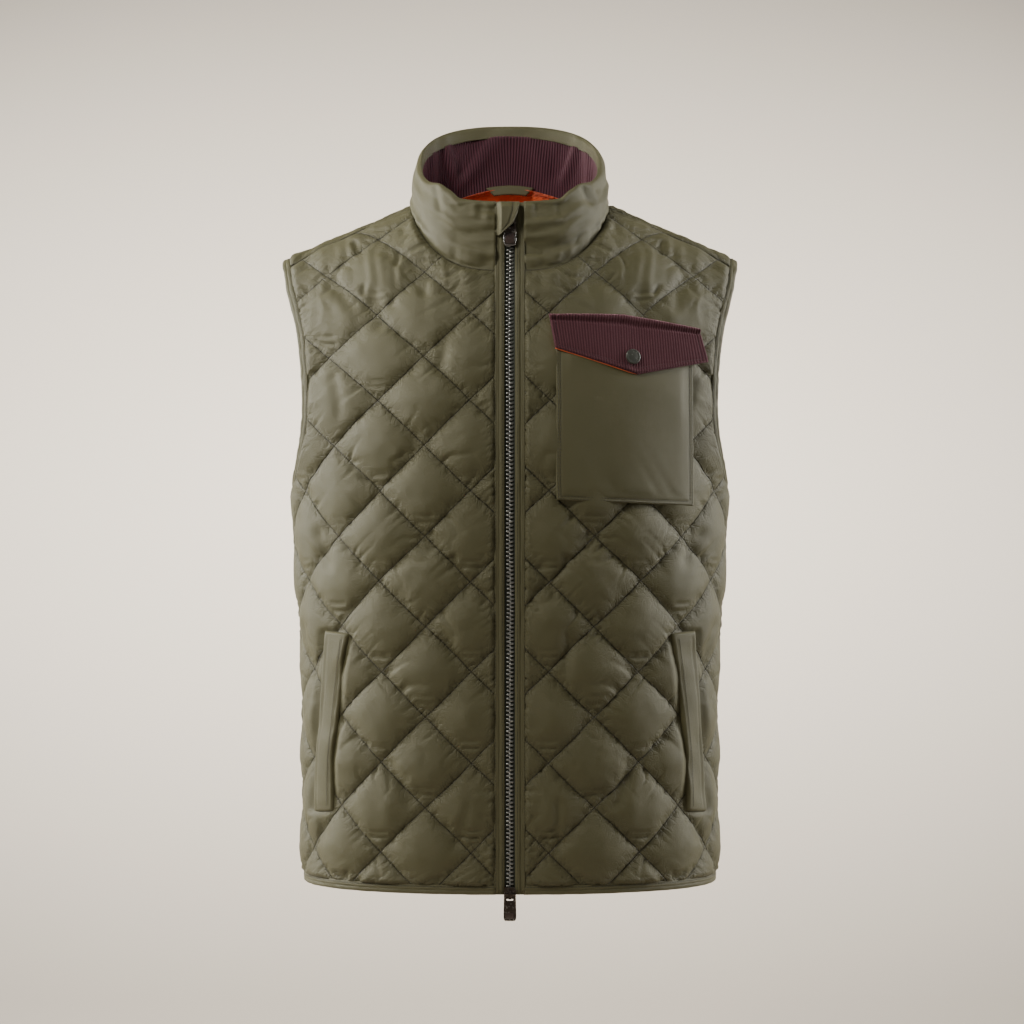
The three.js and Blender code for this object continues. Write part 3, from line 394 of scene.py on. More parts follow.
def cloth_net(face, step, low, high, past_neck=0.0):
    """A grid over a panel whose outer points are drawn onto its curved edges.

    A point nearer an edge than half a step is moved along the edge's slope, three times for
    each edge, onto it; what stays outside is left out."""
    columns = int(round((high[0] - low[0]) / step))
    rows = int(round((high[1] - low[1]) / step))
    along, up = np.meshgrid(np.linspace(low[0], high[0], columns + 1), np.linspace(low[1], high[1], rows + 1))
    fixed_along, fixed_up = along.copy(), up.copy()
    for _ in range(4):
        values = panel_edges(face, along, up, past_neck)
        slope_a = (panel_edges(face, along + 0.5, up, past_neck) - panel_edges(face, along - 0.5, up, past_neck))
        slope_b = (panel_edges(face, along, up + 0.5, past_neck) - panel_edges(face, along, up - 0.5, past_neck))
        square = np.clip(slope_a ** 2 + slope_b ** 2, 0.05, None)
        near = np.argmin(np.abs(values) / np.sqrt(square), axis=0)[None]
        value, sa, sb, sq = (np.take_along_axis(v, near, 0)[0] for v in (values, slope_a, slope_b, square))
        close = np.abs(value) / np.sqrt(sq) < 0.62 * step
        moved_a = np.where(close, along - sa * value / sq, along)
        moved_b = np.where(close, up - sb * value / sq, up)
        far = np.hypot(moved_a - fixed_along, moved_b - fixed_up) > 0.95 * step
        along, up = np.where(far, along, moved_a), np.where(far, up, moved_b)
        along = np.where(np.isin(fixed_along, low[:1] + high[:1]), fixed_along, along)
    inside = panel_edges(face, along, up, past_neck).min(axis=0) > -0.05
    quads = grid_faces(columns + 1, rows + 1)
    good = inside.ravel()[quads]
    whole = quads[good.sum(axis=1) == 4]
    part = quads[good.sum(axis=1) == 3]
    corner = np.argmin(good[good.sum(axis=1) == 3], axis=1)
    order = (corner[:, None] + np.arange(1, 4)) % 4
    faces = [whole, np.take_along_axis(part, order, 1)]
    used = np.zeros(along.size, dtype=bool)
    used[np.concatenate([f.ravel() for f in faces])] = True
    index = np.cumsum(used) - 1
    return along.ravel()[used], up.ravel()[used], [index[f] for f in faces]


def rim_of(faces):
    """The edges that belong to one face only, each in that face's own direction."""
    runs = np.concatenate([np.stack([f, np.roll(f, -1, axis=1)], axis=-1).reshape(-1, 2) for f in faces])
    key = runs.min(axis=1).astype(np.int64) * (runs.max() + 1) + runs.max(axis=1)
    _, first, count = np.unique(key, return_index=True, return_counts=True)
    return runs[first[count == 1]]


def add_wall(name, outer, inner, faces, mirrored=False):
    """A closed wall: its outer points, its inner points, and a strip round the rim."""
    count = len(outer)
    rim = rim_of(faces)
    strip = np.stack([rim[:, 0], rim[:, 0] + count, rim[:, 1] + count, rim[:, 1]], axis=1)
    faces = [*faces, *[f[:, ::-1] + count for f in faces], strip]
    points = np.concatenate([outer, inner])
    if mirrored:
        points = points * (-1, 1, 1)
        faces = [f[:, ::-1] for f in faces]
    return add_mesh(name, points, faces)


def set_map(piece, name, values):
    """Stores a pair of numbers for each point as a UV map."""
    layer = piece.data.uv_layers.new(name=name)
    corners = np.empty(len(piece.data.loops), dtype=np.int32)
    piece.data.loops.foreach_get("vertex_index", corners)
    layer.data.foreach_set("uv", np.asarray(values)[corners].astype(np.float32).ravel())


def set_panel_maps(piece, face, along, up, edge):
    """The maps of both sides of a panel: its cut in metres, its quilting, and the way to its edge."""
    at_edge = np.stack([np.minimum(edge, UNIT / 2), along + up], axis=-1) / UNIT
    for name, values in (("cloth", np.stack([along, up], axis=-1) * MM),
                         ("quilt", np.stack(diamonds(face, along, up), axis=-1)), ("edge", at_edge)):
        set_map(piece, name, np.tile(values, (2, 1)))


def edge_distance(face, along, up):
    """How far a place lies from the nearest sewn edge of its panel."""
    straight = [up - HEM_SEAM, QUARTER[face] - np.abs(along)]
    if face == "front":
        straight.append(along - ZIP_HALF)
    return np.minimum(panel_edges(face, along, up).min(axis=0), np.min(straight, axis=0)).clip(0)


# The hand pocket's welt by height: where its sewn and its free edge lie across the front.
WELT_Z, WELT_INNER = (-581, -530, -490, -445, -408), (170, 169, 165, 160, 154.5)
WELT_OUTER = (188, 185, 182, 179.5, 177)
WELT_PRESS, WELT_FADE = 0.62, 7.0


def under_welt(p):
    """How far the hand pocket's welt presses the padding down, eased off beyond its four edges."""
    x, z = np.abs(p[..., 0]), p[..., 2]
    inside = (x - np.interp(z, WELT_Z, WELT_INNER), np.interp(z, WELT_Z, WELT_OUTER) - x,
              z - WELT_Z[0], WELT_Z[-1] - z)
    return np.prod([ease(1 + d / WELT_FADE) for d in inside], axis=0)


def add_panel(name, face, step, mirrored=False, seed=0):
    """A quilted panel over the body's skin, with a plain inner side."""
    low = (ZIP_HALF if face == "front" else -QUARTER["back"] + 0.05, HEM_SEAM)
    along, up, faces = cloth_net(face, step, low, (QUARTER[face] - 0.05, 70.0))
    edge = edge_distance(face, along, up)
    height = quilting(face, along, up, edge) + folds(face, along, up, seed) * ease(edge / 16)
    height = np.clip(height, -0.6, 8.8)
    base, normal = skin(face, along, up), skin_normal(face, along, up)
    if face == "front":
        height *= 1 - WELT_PRESS * under_welt(base)
    outer = base + normal * (1 + height)[:, None]
    piece = add_wall(name, outer, base - normal, faces, mirrored)
    set_panel_maps(piece, face, along, up, edge)
    return piece


def cut_sheet(piece):
    """Reads a sheet's cloth map and the start and count of each face's corners; it keeps nothing and returns nothing.
    """
    spots = np.empty(len(piece.data.loops) * 2, dtype=np.float32)
    piece.data.uv_layers["cloth"].data.foreach_get("uv", spots)
    spots = spots.reshape(-1, 2).astype(float)
    starts, totals = (np.empty(len(piece.data.polygons), dtype=np.int32) for _ in range(2))
    piece.data.polygons.foreach_get("loop_start", starts)
    piece.data.polygons.foreach_get("loop_total", totals)


front_left = add_panel("front_left_cloth", "front", 1.9, seed=1)
front_right = add_panel("front_right_cloth", "front", 1.9, mirrored=True, seed=4)
back = add_panel("back_cloth", "back", 2.6, seed=2)

# The third olive is near black: painted shadow in the sunk seam grooves, together with the thread.
OLIVE, OLIVE_DEEP, OLIVE_SEAM_SHADE = (0.087, 0.080, 0.037), (0.068, 0.063, 0.029), (0.010, 0.008, 0.005)


def node_group(name, inputs, outputs):
    """A shader node group with named sockets; gives the group, its nodes, ends and a link call."""
    group = bpy.data.node_groups.new(name, "ShaderNodeTree")
    for socket, kind, value in inputs:
        made = group.interface.new_socket(socket, in_out="INPUT", socket_type=kind)
        if value is not None:
            made.default_value = value
    for socket, kind in outputs:
        group.interface.new_socket(socket, in_out="OUTPUT", socket_type=kind)
    ends = group.nodes.new("NodeGroupInput"), group.nodes.new("NodeGroupOutput")
    return group, group.nodes, ends[0].outputs, ends[1].inputs, group.links.new


def math(nodes, link, operation, *values):
    """A Math node on numbers or sockets; gives its result."""
    node = nodes.new("ShaderNodeMath")
    node.operation = operation
    for k, value in enumerate(values):
        if hasattr(value, "is_linked"):
            link(value, node.inputs[k])
        else:
            node.inputs[k].default_value = value
    return node.outputs[0]


def weave_group():
    """Plain weave: two crossed sine ribs of one thread pitch with an uneven yarn."""
    group, nodes, given, result, link = node_group(
        "plain_weave",
        [("Place", "NodeSocketVector", None), ("Pitch", "NodeSocketFloat", 0.0006), ("Uneven", "NodeSocketFloat", 0.4)],
        [("Height", "NodeSocketFloat"), ("Fleck", "NodeSocketFloat")])
    place = add_node(nodes, "SeparateXYZ")
    link(given["Place"], place.inputs[0])
    turn = math(nodes, link, "DIVIDE", 2 * np.pi, given["Pitch"])
    ribs = [math(nodes, link, "SINE", math(nodes, link, "MULTIPLY", place.outputs[k], turn)) for k in (0, 1)]
    crossed = math(nodes, link, "MULTIPLY", *ribs)
    fleck = add_node(nodes, "TexNoise", Scale=900, Detail=2)
    link(given["Place"], fleck.inputs["Vector"])
    rough = math(nodes, link, "MULTIPLY", fleck.outputs["Fac"], given["Uneven"])
    link(math(nodes, link, "ADD", math(nodes, link, "MULTIPLY", crossed, 0.5), rough), result["Height"])
    link(fleck.outputs["Fac"], result["Fleck"])
    return group


def wear_group():
    """Broad uneven shade of a washed cloth, from two sizes of noise on the object's own place."""
    group, nodes, given, result, link = node_group(
        "washed_shade", [("Place", "NodeSocketVector", None), ("Strength", "NodeSocketFloat", 0.5)],
        [("Shade", "NodeSocketFloat")])
    sums = []
    for scale in (9, 46):
        field = add_node(nodes, "TexNoise", Scale=scale)
        link(given["Place"], field.inputs["Vector"])
        sums.append(field.outputs["Fac"])
    both = math(nodes, link, "MULTIPLY", math(nodes, link, "ADD", *sums), 0.5)
    away = math(nodes, link, "SUBTRACT", both, 0.5)
    link(math(nodes, link, "ADD", math(nodes, link, "MULTIPLY", away, given["Strength"]), 0.5), result["Shade"])
    return group


def seam_group():
    """Sewn lines where a quilting coordinate is whole, and at the panel's edge: a dark line that is partly the thread
    and partly painted shadow in the sunk groove, painted shade beside it, and fine gathers with sharp valleys that
    leave it square and die away."""
    group, nodes, given, result, link = node_group(
        "quilting_lines",
        [("Quilt", "NodeSocketVector", None), ("Edge", "NodeSocketVector", None), ("Half", "NodeSocketFloat", 0.012)],
        [("Line", "NodeSocketFloat"), ("Stitch", "NodeSocketFloat"), ("Shade", "NodeSocketFloat"),
         ("Gather", "NodeSocketFloat")])
    place, rim = add_node(nodes, "SeparateXYZ"), add_node(nodes, "SeparateXYZ")
    link(given["Quilt"], place.inputs[0])
    link(given["Edge"], rim.inputs[0])
    lines, stitches, shades, gathers = [], [], [], []
    first, second = place.outputs[0], place.outputs[1]
    for across_seam, along_seam in ((first, second), (second, first), (rim.outputs[0], rim.outputs[1])):
        away = math(nodes, link, "PINGPONG", across_seam, 0.5)
        line = math(nodes, link, "SUBTRACT", 1, math(nodes, link, "DIVIDE", away, given["Half"]))
        line = math(nodes, link, "MAXIMUM", line, 0)
        dash = math(nodes, link, "PINGPONG", math(nodes, link, "MULTIPLY", along_seam, 24), 0.5)
        lines.append(line)
        stitches.append(math(nodes, link, "MULTIPLY", line, math(nodes, link, "GREATER_THAN", dash, 0.12)))
        # Painted shade that falls off within about three millimetres of the seam.
        shades.append(math(nodes, link, "EXPONENT", math(nodes, link, "MULTIPLY", away, -22)))
        spot = add_node(nodes, "CombineXYZ")
        link(math(nodes, link, "MULTIPLY", away, 9), spot.inputs[0])
        link(math(nodes, link, "MULTIPLY", along_seam, 12), spot.inputs[1])
        link(math(nodes, link, "ROUND", across_seam), spot.inputs[2])
        field = add_node(nodes, "TexNoise", Scale=1.0, Detail=0.6)
        link(spot.outputs[0], field.inputs["Vector"])
        fade = math(nodes, link, "EXPONENT", math(nodes, link, "MULTIPLY", away, -11))
        wave = math(nodes, link, "SUBTRACT", field.outputs["Fac"], 0.5)
        sharp = math(nodes, link, "MULTIPLY", math(nodes, link, "ABSOLUTE", wave), -13)
        sharp = math(nodes, link, "POWER", math(nodes, link, "MAXIMUM", math(nodes, link, "ADD", sharp, 1), 0), 2)
        both = math(nodes, link, "SUBTRACT", math(nodes, link, "MULTIPLY", wave, 0.5),
                    math(nodes, link, "MULTIPLY", sharp, 0.3))
        gathers.append(math(nodes, link, "MULTIPLY", both, fade))
    for name, way, parts in (("Line", "MAXIMUM", lines), ("Stitch", "MAXIMUM", stitches), ("Shade", "MAXIMUM", shades),
                             ("Gather", "ADD", gathers)):
        link(math(nodes, link, way, math(nodes, link, way, *parts[:2]), parts[2]), result[name])
    return group


WEAVE, WASHED, SEAMS = weave_group(), wear_group(), seam_group()


def use_group(nodes, group, **values):
    """Places a node group in a material and sets its plain inputs."""
    node = nodes.new("ShaderNodeGroup")
    node.node_tree = group
    return set_inputs(node, **values)


def uv_of(nodes, name):
    """A piece's own map as a vector."""
    node = nodes.new("ShaderNodeUVMap")
    node.uv_map = name
    return node.outputs["UV"]


def mixed(nodes, link, factor, first, second):
    """A colour between two colours or sockets."""
    node = nodes.new("ShaderNodeMix")
    node.data_type = "RGBA"
    link(factor, node.inputs["Factor"])
    for socket, value in (("A", first), ("B", second)):
        if hasattr(value, "is_linked"):
            link(value, node.inputs[socket])
        else:
            node.inputs[socket].default_value = (*value, 1)
    return node.outputs["Result"]


def bumped(nodes, link, height, distance, strength=1.0, under=None):
    """A Bump node on a height in metres times its distance."""
    node = nodes.new("ShaderNodeBump")
    node.inputs["Distance"].default_value = distance
    node.inputs["Strength"].default_value = strength
    link(height, node.inputs["Height"])
    if under is not None:
        link(under, node.inputs["Normal"])
    return node.outputs["Normal"]


def cloth_material(name, light, dark, seam, rough=0.56, sheen=0.07, tint=(0.62, 0.60, 0.42), quilted=False,
                   pitch=0.0006, uneven=0.5, gather=0.0020):
    """A woven shell cloth: washed shade, fine weave, a soft nap, and quilting lines with painted shade if sewn."""
    material, nodes, shader, link = new_material(name)
    weave = use_group(nodes, WEAVE, Pitch=pitch, Uneven=uneven)
    washed = use_group(nodes, WASHED, Strength=0.9)
    link(uv_of(nodes, "cloth"), weave.inputs["Place"])
    link(nodes.new("ShaderNodeTexCoord").outputs["Object"], washed.inputs["Place"])
    colour = mixed(nodes, link, washed.outputs["Shade"], dark, light)
    fleck = math(nodes, link, "MULTIPLY", weave.outputs["Fleck"], 0.35)
    colour = mixed(nodes, link, fleck, colour, dark)
    normal = bumped(nodes, link, weave.outputs["Height"], 0.00009)
    if quilted:
        seams = use_group(nodes, SEAMS)
        link(uv_of(nodes, "quilt"), seams.inputs["Quilt"])
        link(uv_of(nodes, "edge"), seams.inputs["Edge"])
        # Painted shade beside each seam, then the dark seam line, partly thread and partly painted groove shadow, both
        # in the seam colour.
        colour = mixed(nodes, link, math(nodes, link, "MULTIPLY", seams.outputs["Shade"], 0.20), colour, seam)
        colour = mixed(nodes, link, math(nodes, link, "MULTIPLY", seams.outputs["Line"], 0.62), colour, seam)
        sunk = math(nodes, link, "SUBTRACT", math(nodes, link, "MULTIPLY", seams.outputs["Stitch"], 0.5),
                    seams.outputs["Line"])
        normal = bumped(nodes, link, seams.outputs["Gather"], gather, under=normal)
        normal = bumped(nodes, link, sunk, 0.0009, under=normal)
    link(colour, shader.inputs["Base Color"])
    link(normal, shader.inputs["Normal"])
    set_inputs(shader, Roughness=rough, Specular_IOR_Level=0.30, Sheen_Weight=sheen, Sheen_Roughness=0.45,
               Sheen_Tint=(*tint, 1))
    return material


def fit(piece, node=None, body="vest"):
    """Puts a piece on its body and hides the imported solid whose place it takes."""
    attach(piece, body)
    if node is not None:
        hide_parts(node)


SHELL = cloth_material("olive_shell", OLIVE, OLIVE_DEEP, OLIVE_SEAM_SHADE, quilted=True)
for piece, node, on in ((front_left, "front_left", "back_cloth"), (front_right, "front_right", "back_cloth"),
                        (back, "back", "lining_back_cloth")):
    piece.data.materials.append(SHELL)
    cut_sheet(piece)
    fit(piece, node)

# The lining: thin orange taffeta behind the fronts and back, sewn through with the quilting, so
# that it lies nearly plain with faint lines and small creases. Its edges go under the bindings.
LINING = {"depth": 2.0, "thick": 0.7, "drop": 3.4, "drop_from": -120.0, "drop_over": 60.0, "step": 4.8,
          "past_neck": {"front": -3.0, "back": 5.0}}


def add_lining(name, face, mirrored=False, seed=0):
    """A smooth wall inside a panel, a little deeper where it bridges the turn of the shoulder."""
    low = (ZIP_HALF + 0.1 if face == "front" else -QUARTER["back"] + 0.05, HEM_SEAM)
    along, up, faces = cloth_net(face, LINING["step"], low, (QUARTER[face] - 0.05, 84.0), LINING["past_neck"][face])
    edge = edge_distance(face, along, up)
    base, normal = skin(face, along, up), skin_normal(face, along, up)
    u, w = diamonds(face, along, up)
    dome = np.abs(np.sin(np.pi * u) * np.sin(np.pi * w)) ** 0.6
    crease = 0.8 * dome + 0.35 * noise(along / 9, up / 9, 31 + seed) + 0.5 * (puckers(u, w, 13) + puckers(w, u, 37))
    drop = LINING["depth"] + LINING["drop"] * ease((base[:, 2] - LINING["drop_from"]) / LINING["drop_over"])
    inner = base - normal * (drop + LINING["thick"] + crease * ease(edge / 10))[:, None]
    piece = add_wall(name, base - normal * drop[:, None], inner, faces, mirrored)
    set_panel_maps(piece, face, along, up, edge)
    return piece


# The third orange is the lining's painted shadow in its sunk seams.
ORANGE, ORANGE_DEEP, ORANGE_SEAM_SHADE = (0.92, 0.20, 0.070), (0.74, 0.125, 0.042), (0.34, 0.045, 0.016)
TAFFETA = cloth_material("orange_taffeta", ORANGE, ORANGE_DEEP, ORANGE_SEAM_SHADE, rough=0.42, sheen=0.1,
                         tint=(1.0, 0.55, 0.35), quilted=True, pitch=0.0004, uneven=0.3)
for name, face, mirrored, seed in (("lining_front_left", "front", False, 1),
                                   ("lining_front_right", "front", True, 2), ("lining_back", "back", False, 3)):
    piece = add_lining(name + "_cloth", face, mirrored, seed)
    piece.data.materials.append(TAFFETA)
    cut_sheet(piece)
    fit(piece, name)

# The bindings: bias tape of the shell's cloth folded over the raw edges of the armholes and hem,
# eight millimetres wide, and sewn through along its inner edge with an olive thread.
BINDING = {"width": 8.0, "front": 1.6, "back": 3.1}
STITCH = {"pitch": 3.3, "length": 2.5, "radius": 0.22}
# The thread colour is darker than the shell's: partly the thread's own colour and partly painted shade of the needle
# holes.
THREAD, THREAD_DEEP = (0.026, 0.024, 0.014), (0.014, 0.013, 0.008)


def lengths(points):
    """Running length of a path at each of its points."""
    return np.concatenate([[0], np.cumsum(np.linalg.norm(np.diff(points, axis=0), axis=1))])


def armhole_run(face, shares, over=False):
    """Cloth places along the armhole's edge, by shares of the climb, or past the ridge."""
    full = armhole_share(face, shares)
    side = np.clip(1 - full ** ROUND, 0, 1) ** (1 / ROUND)
    along = np.interp(side, ARC[face][1], ARC[face][0])
    _, rise, run = climb(face, side, full)
    up = climb_length(rise, run, np.arcsin(shares))
    if over:
        other = "front" if face == "back" else "back"
        _, rise_there, run_there = climb(other, side, full)
        whole_there = climb_length(rise_there, run_there, np.pi / 2)
        up = climb_length(rise, run, np.pi / 2) + whole_there
        up = up - climb_length(rise_there, run_there, np.arcsin(shares))
    return along, UNDERARM + up


def stations(face, along, up):
    """Points and normals on the skin at cloth places."""
    return skin(face, along, up), skin_normal(face, along, up)


def armhole_path():
    """The whole edge of the left armhole: up the front, over the shoulder seam, down the back."""
    rise = 1 - np.cos(np.linspace(0, np.pi / 2, 60))
    shares = np.concatenate([ARMHOLE["corner"] * rise, np.linspace(ARMHOLE["corner"], 0.9995, 90)[1:]])
    up_front = stations("front", *armhole_run("front", shares))
    over = stations("back", *[v * s for v, s in zip(armhole_run("back", shares[-40:], over=True), (-1, 1))])
    down_back = stations("back", *[v * s for v, s in zip(armhole_run("back", shares[::-1]), (-1, 1))])
    front, seam = up_front[0][:, 1] < SHOULDER_Y - 0.5, over[0][:, 1] > SHOULDER_Y + 0.5
    return [np.concatenate([a[front], b[seam], c[1:-1]]) for a, b, c in zip(up_front, over, down_back)]


def at_lengths(at, length, values):
    """Values of a path read off at running lengths."""
    return np.stack([np.interp(at, length, values[:, k]) for k in range(3)], axis=-1)


def evened(points, normals, step, closed):
    """The same path at equal steps of its running length, slightly smoothed."""
    if closed:
        points, normals = np.vstack([points, points[:1]]), np.vstack([normals, normals[:1]])
    length = lengths(points)
    at = np.linspace(0, length[-1], max(3, int(round(length[-1] / step))) + 1)
    at = at[:-1] if closed else at
    points, normals = (at_lengths(at, length, v) for v in (points, normals))
    if closed:
        points, normals = (sum(np.roll(v, k, axis=0) for k in (-1, 0, 1)) / 3 for v in (points, normals))
    return points, normals / np.linalg.norm(normals, axis=1, keepdims=True)


def out_of(points, normals, closed):
    """The direction across a path: its run crossed with the normal."""
    run = np.roll(points, -1, axis=0) - np.roll(points, 1, axis=0) if closed else np.gradient(points, axis=0)
    out = np.cross(run, normals)
    return out / np.linalg.norm(out, axis=1, keepdims=True)


def tube_faces(rows, sides, around=False):
    """Four-sided faces between rings of points; around joins the last ring to the first."""
    at = np.arange(rows * sides).reshape(rows, sides)
    ahead = np.roll(at, -1, axis=0) if around else at[1:]
    here = at if around else at[:-1]
    return np.stack([here, np.roll(here, -1, axis=1), np.roll(ahead, -1, axis=1), ahead], axis=-1).reshape(-1, 4)


def swept(name, points, normals, profile, closed, wrinkle=0.0, seed=0):
    """A closed profile of (out, lift) pairs carried along a path, with ends capped if it is open."""
    out = out_of(points, normals, closed)
    s = np.arange(len(points))[:, None]
    uneven = wrinkle * noise(s / 2.3, np.arange(len(profile))[None] * 0.7, seed)
    rings = (points[:, None] + out[:, None] * (profile[None, :, :1] + 0.5 * uneven[..., None])
             + normals[:, None] * (profile[None, :, 1:] + uneven[..., None]))
    count, sides = rings.shape[:2]
    end = np.arange(sides)[None]
    caps = [] if closed else [end[:, ::-1], end + (count - 1) * sides]
    piece = add_mesh(name, rings, [tube_faces(count, sides, closed), *caps])
    length = lengths(points)
    place = np.stack(np.broadcast_arrays(length[:, None], profile[None, :, 0]), axis=-1)
    set_map(piece, "cloth", place.reshape(-1, 2) * MM)
    outline = np.linalg.norm(profile - np.roll(profile, -1, axis=0), axis=1).sum()
    piece["tape"] = [outline / 2 * MM, length[-1] * MM]
    return piece


def binding_profile():
    """Tape folded over an edge: a flat front, a rounded outer fold and a flat back."""
    turn = np.linspace(np.pi / 2, -np.pi / 2, 9)
    middle, half = (BINDING["front"] - BINDING["back"]) / 2, (BINDING["front"] + BINDING["back"]) / 2
    fold = np.stack([BINDING["width"] - 2.0 + 2.0 * np.cos(turn), middle + half * np.sin(turn)], axis=-1)
    front = [(-1.4, 1.0), (-1.1, 1.6), (0.2, 1.3), (1.6, 1.9), (3.0, 1.85), (3.6, 1.4), (4.2, 1.85)]
    back_side = [(3.6, -3.2), (1.2, -3.1), (-1.0, -3.3), (-1.2, -2.6)]
    return np.concatenate([front, fold, back_side])[::-1]


def add_stitches(name, points, normals, material, pitch=STITCH["pitch"], aside=0.0, lift=0.0, closed=False):
    """Thread stitches along a path: short rods that rise from the cloth and dip back at both ends."""
    out = out_of(points, normals, closed)
    line = points + out * aside
    length = lengths(line)
    middle = np.arange(pitch, length[-1] - pitch / 2, pitch)
    ring = np.array([-1, -0.6, 0, 0.6, 1])
    at = middle[:, None] + ring[None] * STITCH["length"] / 2
    place, up, aside_way = (at_lengths(at, length, v) for v in (line, normals, out))
    radius = STITCH["radius"] * np.array([0.45, 0.9, 1, 0.9, 0.45])
    height = lift + np.array([-0.25, 0.02, 0.12, 0.02, -0.25])
    turn = np.arange(5) * 2 * np.pi / 5
    rise = (height[:, None] + radius[:, None] * np.sin(turn))[None, ..., None]
    rings = (place[:, :, None] + up[:, :, None] * rise
             + aside_way[:, :, None] * (radius[:, None] * np.cos(turn))[None, ..., None])
    at = np.arange(rings.size // 3).reshape(len(middle), 5, 5)
    quads = np.stack([at[:, :-1], at[:, 1:], np.roll(at[:, 1:], -1, axis=2), np.roll(at[:, :-1], -1, axis=2)], -1)
    piece = add_mesh(name, rings, [quads.reshape(-1, 4), at[:, 0], at[:, -1, ::-1]])
    piece.data.materials.append(material)
    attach(piece, "vest")
    return piece


def thread_material(name, light, dark):
    """Twisted sewing thread: a fine slanted wave of light and dark with a slight gloss."""
    material, nodes, shader, link = new_material(name)
    wave = add_node(nodes, "TexWave", Scale=900, Distortion=2)
    link(add_node(nodes, "TexCoord").outputs["Object"], wave.inputs["Vector"])
    link(mixed(nodes, link, wave.outputs["Fac"], dark, light), shader.inputs["Base Color"])
    shader.inputs["Roughness"].default_value = 0.55
    return material


OLIVE_THREAD = thread_material("olive_thread", THREAD, THREAD_DEEP)
TAPE_CLOTH = cloth_material("olive_tape", OLIVE, OLIVE_DEEP, OLIVE_SEAM_SHADE)
armhole, armhole_up = evened(*armhole_path(), 2.6, True)
FLIP = np.array([-1, 1, 1])
for side, points, normals in (("left", armhole, armhole_up),
                              ("right", armhole[::-1] * FLIP, armhole_up[::-1] * FLIP)):
    piece = swept("armhole_binding_" + side + "_cloth", points, normals, binding_profile(), True, 0.45, 5)
    piece.data.materials.append(TAPE_CLOTH)
    fit(piece, "armhole_binding_" + side)
    made = add_stitches("armhole_stitches_" + side, points, normals, OLIVE_THREAD, aside=0.5, lift=1.6, closed=True)

hem_front = np.linspace(ZIP_HALF, QUARTER["front"] - 0.1, 90)
hem_back = np.linspace(-QUARTER["back"] + 0.1, QUARTER["back"] - 0.1, 170)
hem_parts = [stations("front", hem_front, np.full(90, HEM_SEAM)), stations("back", hem_back, np.full(170, HEM_SEAM))]
hem_parts.append([v[::-1] * FLIP for v in hem_parts[0]])
hem, hem_up = evened(*[np.concatenate(v) for v in zip(*hem_parts)], 3.0, False)
hem_binding = swept("hem_binding_cloth", hem, hem_up, binding_profile(), False, 0.3, 9)
hem_binding.data.materials.append(TAPE_CLOTH)
fit(hem_binding, "hem_binding")
add_stitches("hem_stitches", hem, hem_up, OLIVE_THREAD, aside=0.5, lift=1.6)

# The stand collar: two layers of the shell's cloth over soft padding, not quilted, sewn to the neck.
# Inside it has a plum rib band, and at the rim a turned strip of the shell's cloth.
COLLAR = {"inset": 2.6, "lift": 0.8, "thick": 1.4, "puff": 3.6}
RIM = {"x": 89.5, "y": -2.0, "front": 80.0, "back": 82.0, "low": 16.0, "high": 105.0, "round_front": 2.6,
       "round_back": 2.5}
COLLAR_START = np.arcsin((ZIP_HALF / (NECK_X - COLLAR["inset"])) ** (NECK_ROUND["front"] / 2))
FACING_SHARE = 0.80


def side_at(reach, width):
    """The share of the half width whose place across the body is the one asked for."""
    side = reach / WAIST
    for _ in range(12):
        side = np.clip(side + (reach - across(side, width)) / (WAIST + 60), 0, 1)
    return side


def skin_height(x, y):
    """Height of the shoulders' surface above a place seen from above."""
    heights = {}
    for face in ("front", "back"):
        share = np.ones_like(x)
        for _ in range(12):
            side = side_at(x, np.interp(share, YOKE_SHARE, YOKE_WIDTH))
            ridge, rise, run = climb(face, side, full_of(side))
            share = np.sqrt(1 - np.clip((y - ridge) / run, 0, 1) ** 2)
        heights[face] = UNDERARM + rise * share
    return np.where(y < RIDGE_Y, heights["front"], heights["back"])


def oval(angle, x, y, front, back, round_front, round_back):
    """An oval seen from above with its own depth and roundness in front and behind."""
    s, c = np.sin(angle), np.cos(angle)
    power = 2 / np.where(c > 0, round_front, round_back)
    depth = np.where(c > 0, -front, -back)
    return x * np.sign(s) * np.abs(s) ** power, y + depth * np.sign(c) * np.abs(c) ** power


def collar_skin(turn, share):
    """Ruled lines from the neck seam, turn 0 at the zip's left side, up to the slanted rim."""
    angle = COLLAR_START + (2 * np.pi - 2 * COLLAR_START) * turn
    inset = COLLAR["inset"]
    bx, by = oval(angle, NECK_X - inset, NECK_Y, NECK_DEPTH["front"] - inset, NECK_DEPTH["back"] - inset,
                  NECK_ROUND["front"], NECK_ROUND["back"])
    fx, fy = oval(angle, RIM["x"], RIM["y"], RIM["front"], RIM["back"], RIM["round_front"], RIM["round_back"])
    front = np.cos(angle) > 0
    fx = np.where(front & (np.abs(fx) < ZIP_HALF), np.sign(fx) * ZIP_HALF, fx)
    fx = np.where(front & (np.abs(bx) < ZIP_HALF + 1), bx, fx)
    rim_z = RIM["low"] + (RIM["high"] - RIM["low"]) * (fy - RIM["y"] + RIM["front"]) / (RIM["front"] + RIM["back"])
    step = 4.5 * np.exp(-((np.abs(fx) - 68) / 9) ** 2) - 4.5 * ease((58 - np.abs(fx)) / 10)
    rim_z = rim_z + step * ease((RIM["y"] - fy) / 20)
    base = np.stack([bx, by, skin_height(np.abs(bx), by) + COLLAR["lift"]], axis=-1)
    rim = np.stack([fx, fy, rim_z], axis=-1)
    return base + (rim - base) * np.asarray(share)[..., None]


def collar_point(turn, share, lift):
    """A point moved out of the collar's ruled surface along its normal."""
    h = 0.004
    normal = np.cross(collar_skin(turn + h, share) - collar_skin(turn - h, share),
                      collar_skin(turn, share + h) - collar_skin(turn, share - h))
    normal /= np.linalg.norm(normal, axis=-1, keepdims=True)
    return collar_skin(turn, share) + normal * np.asarray(lift)[..., None]


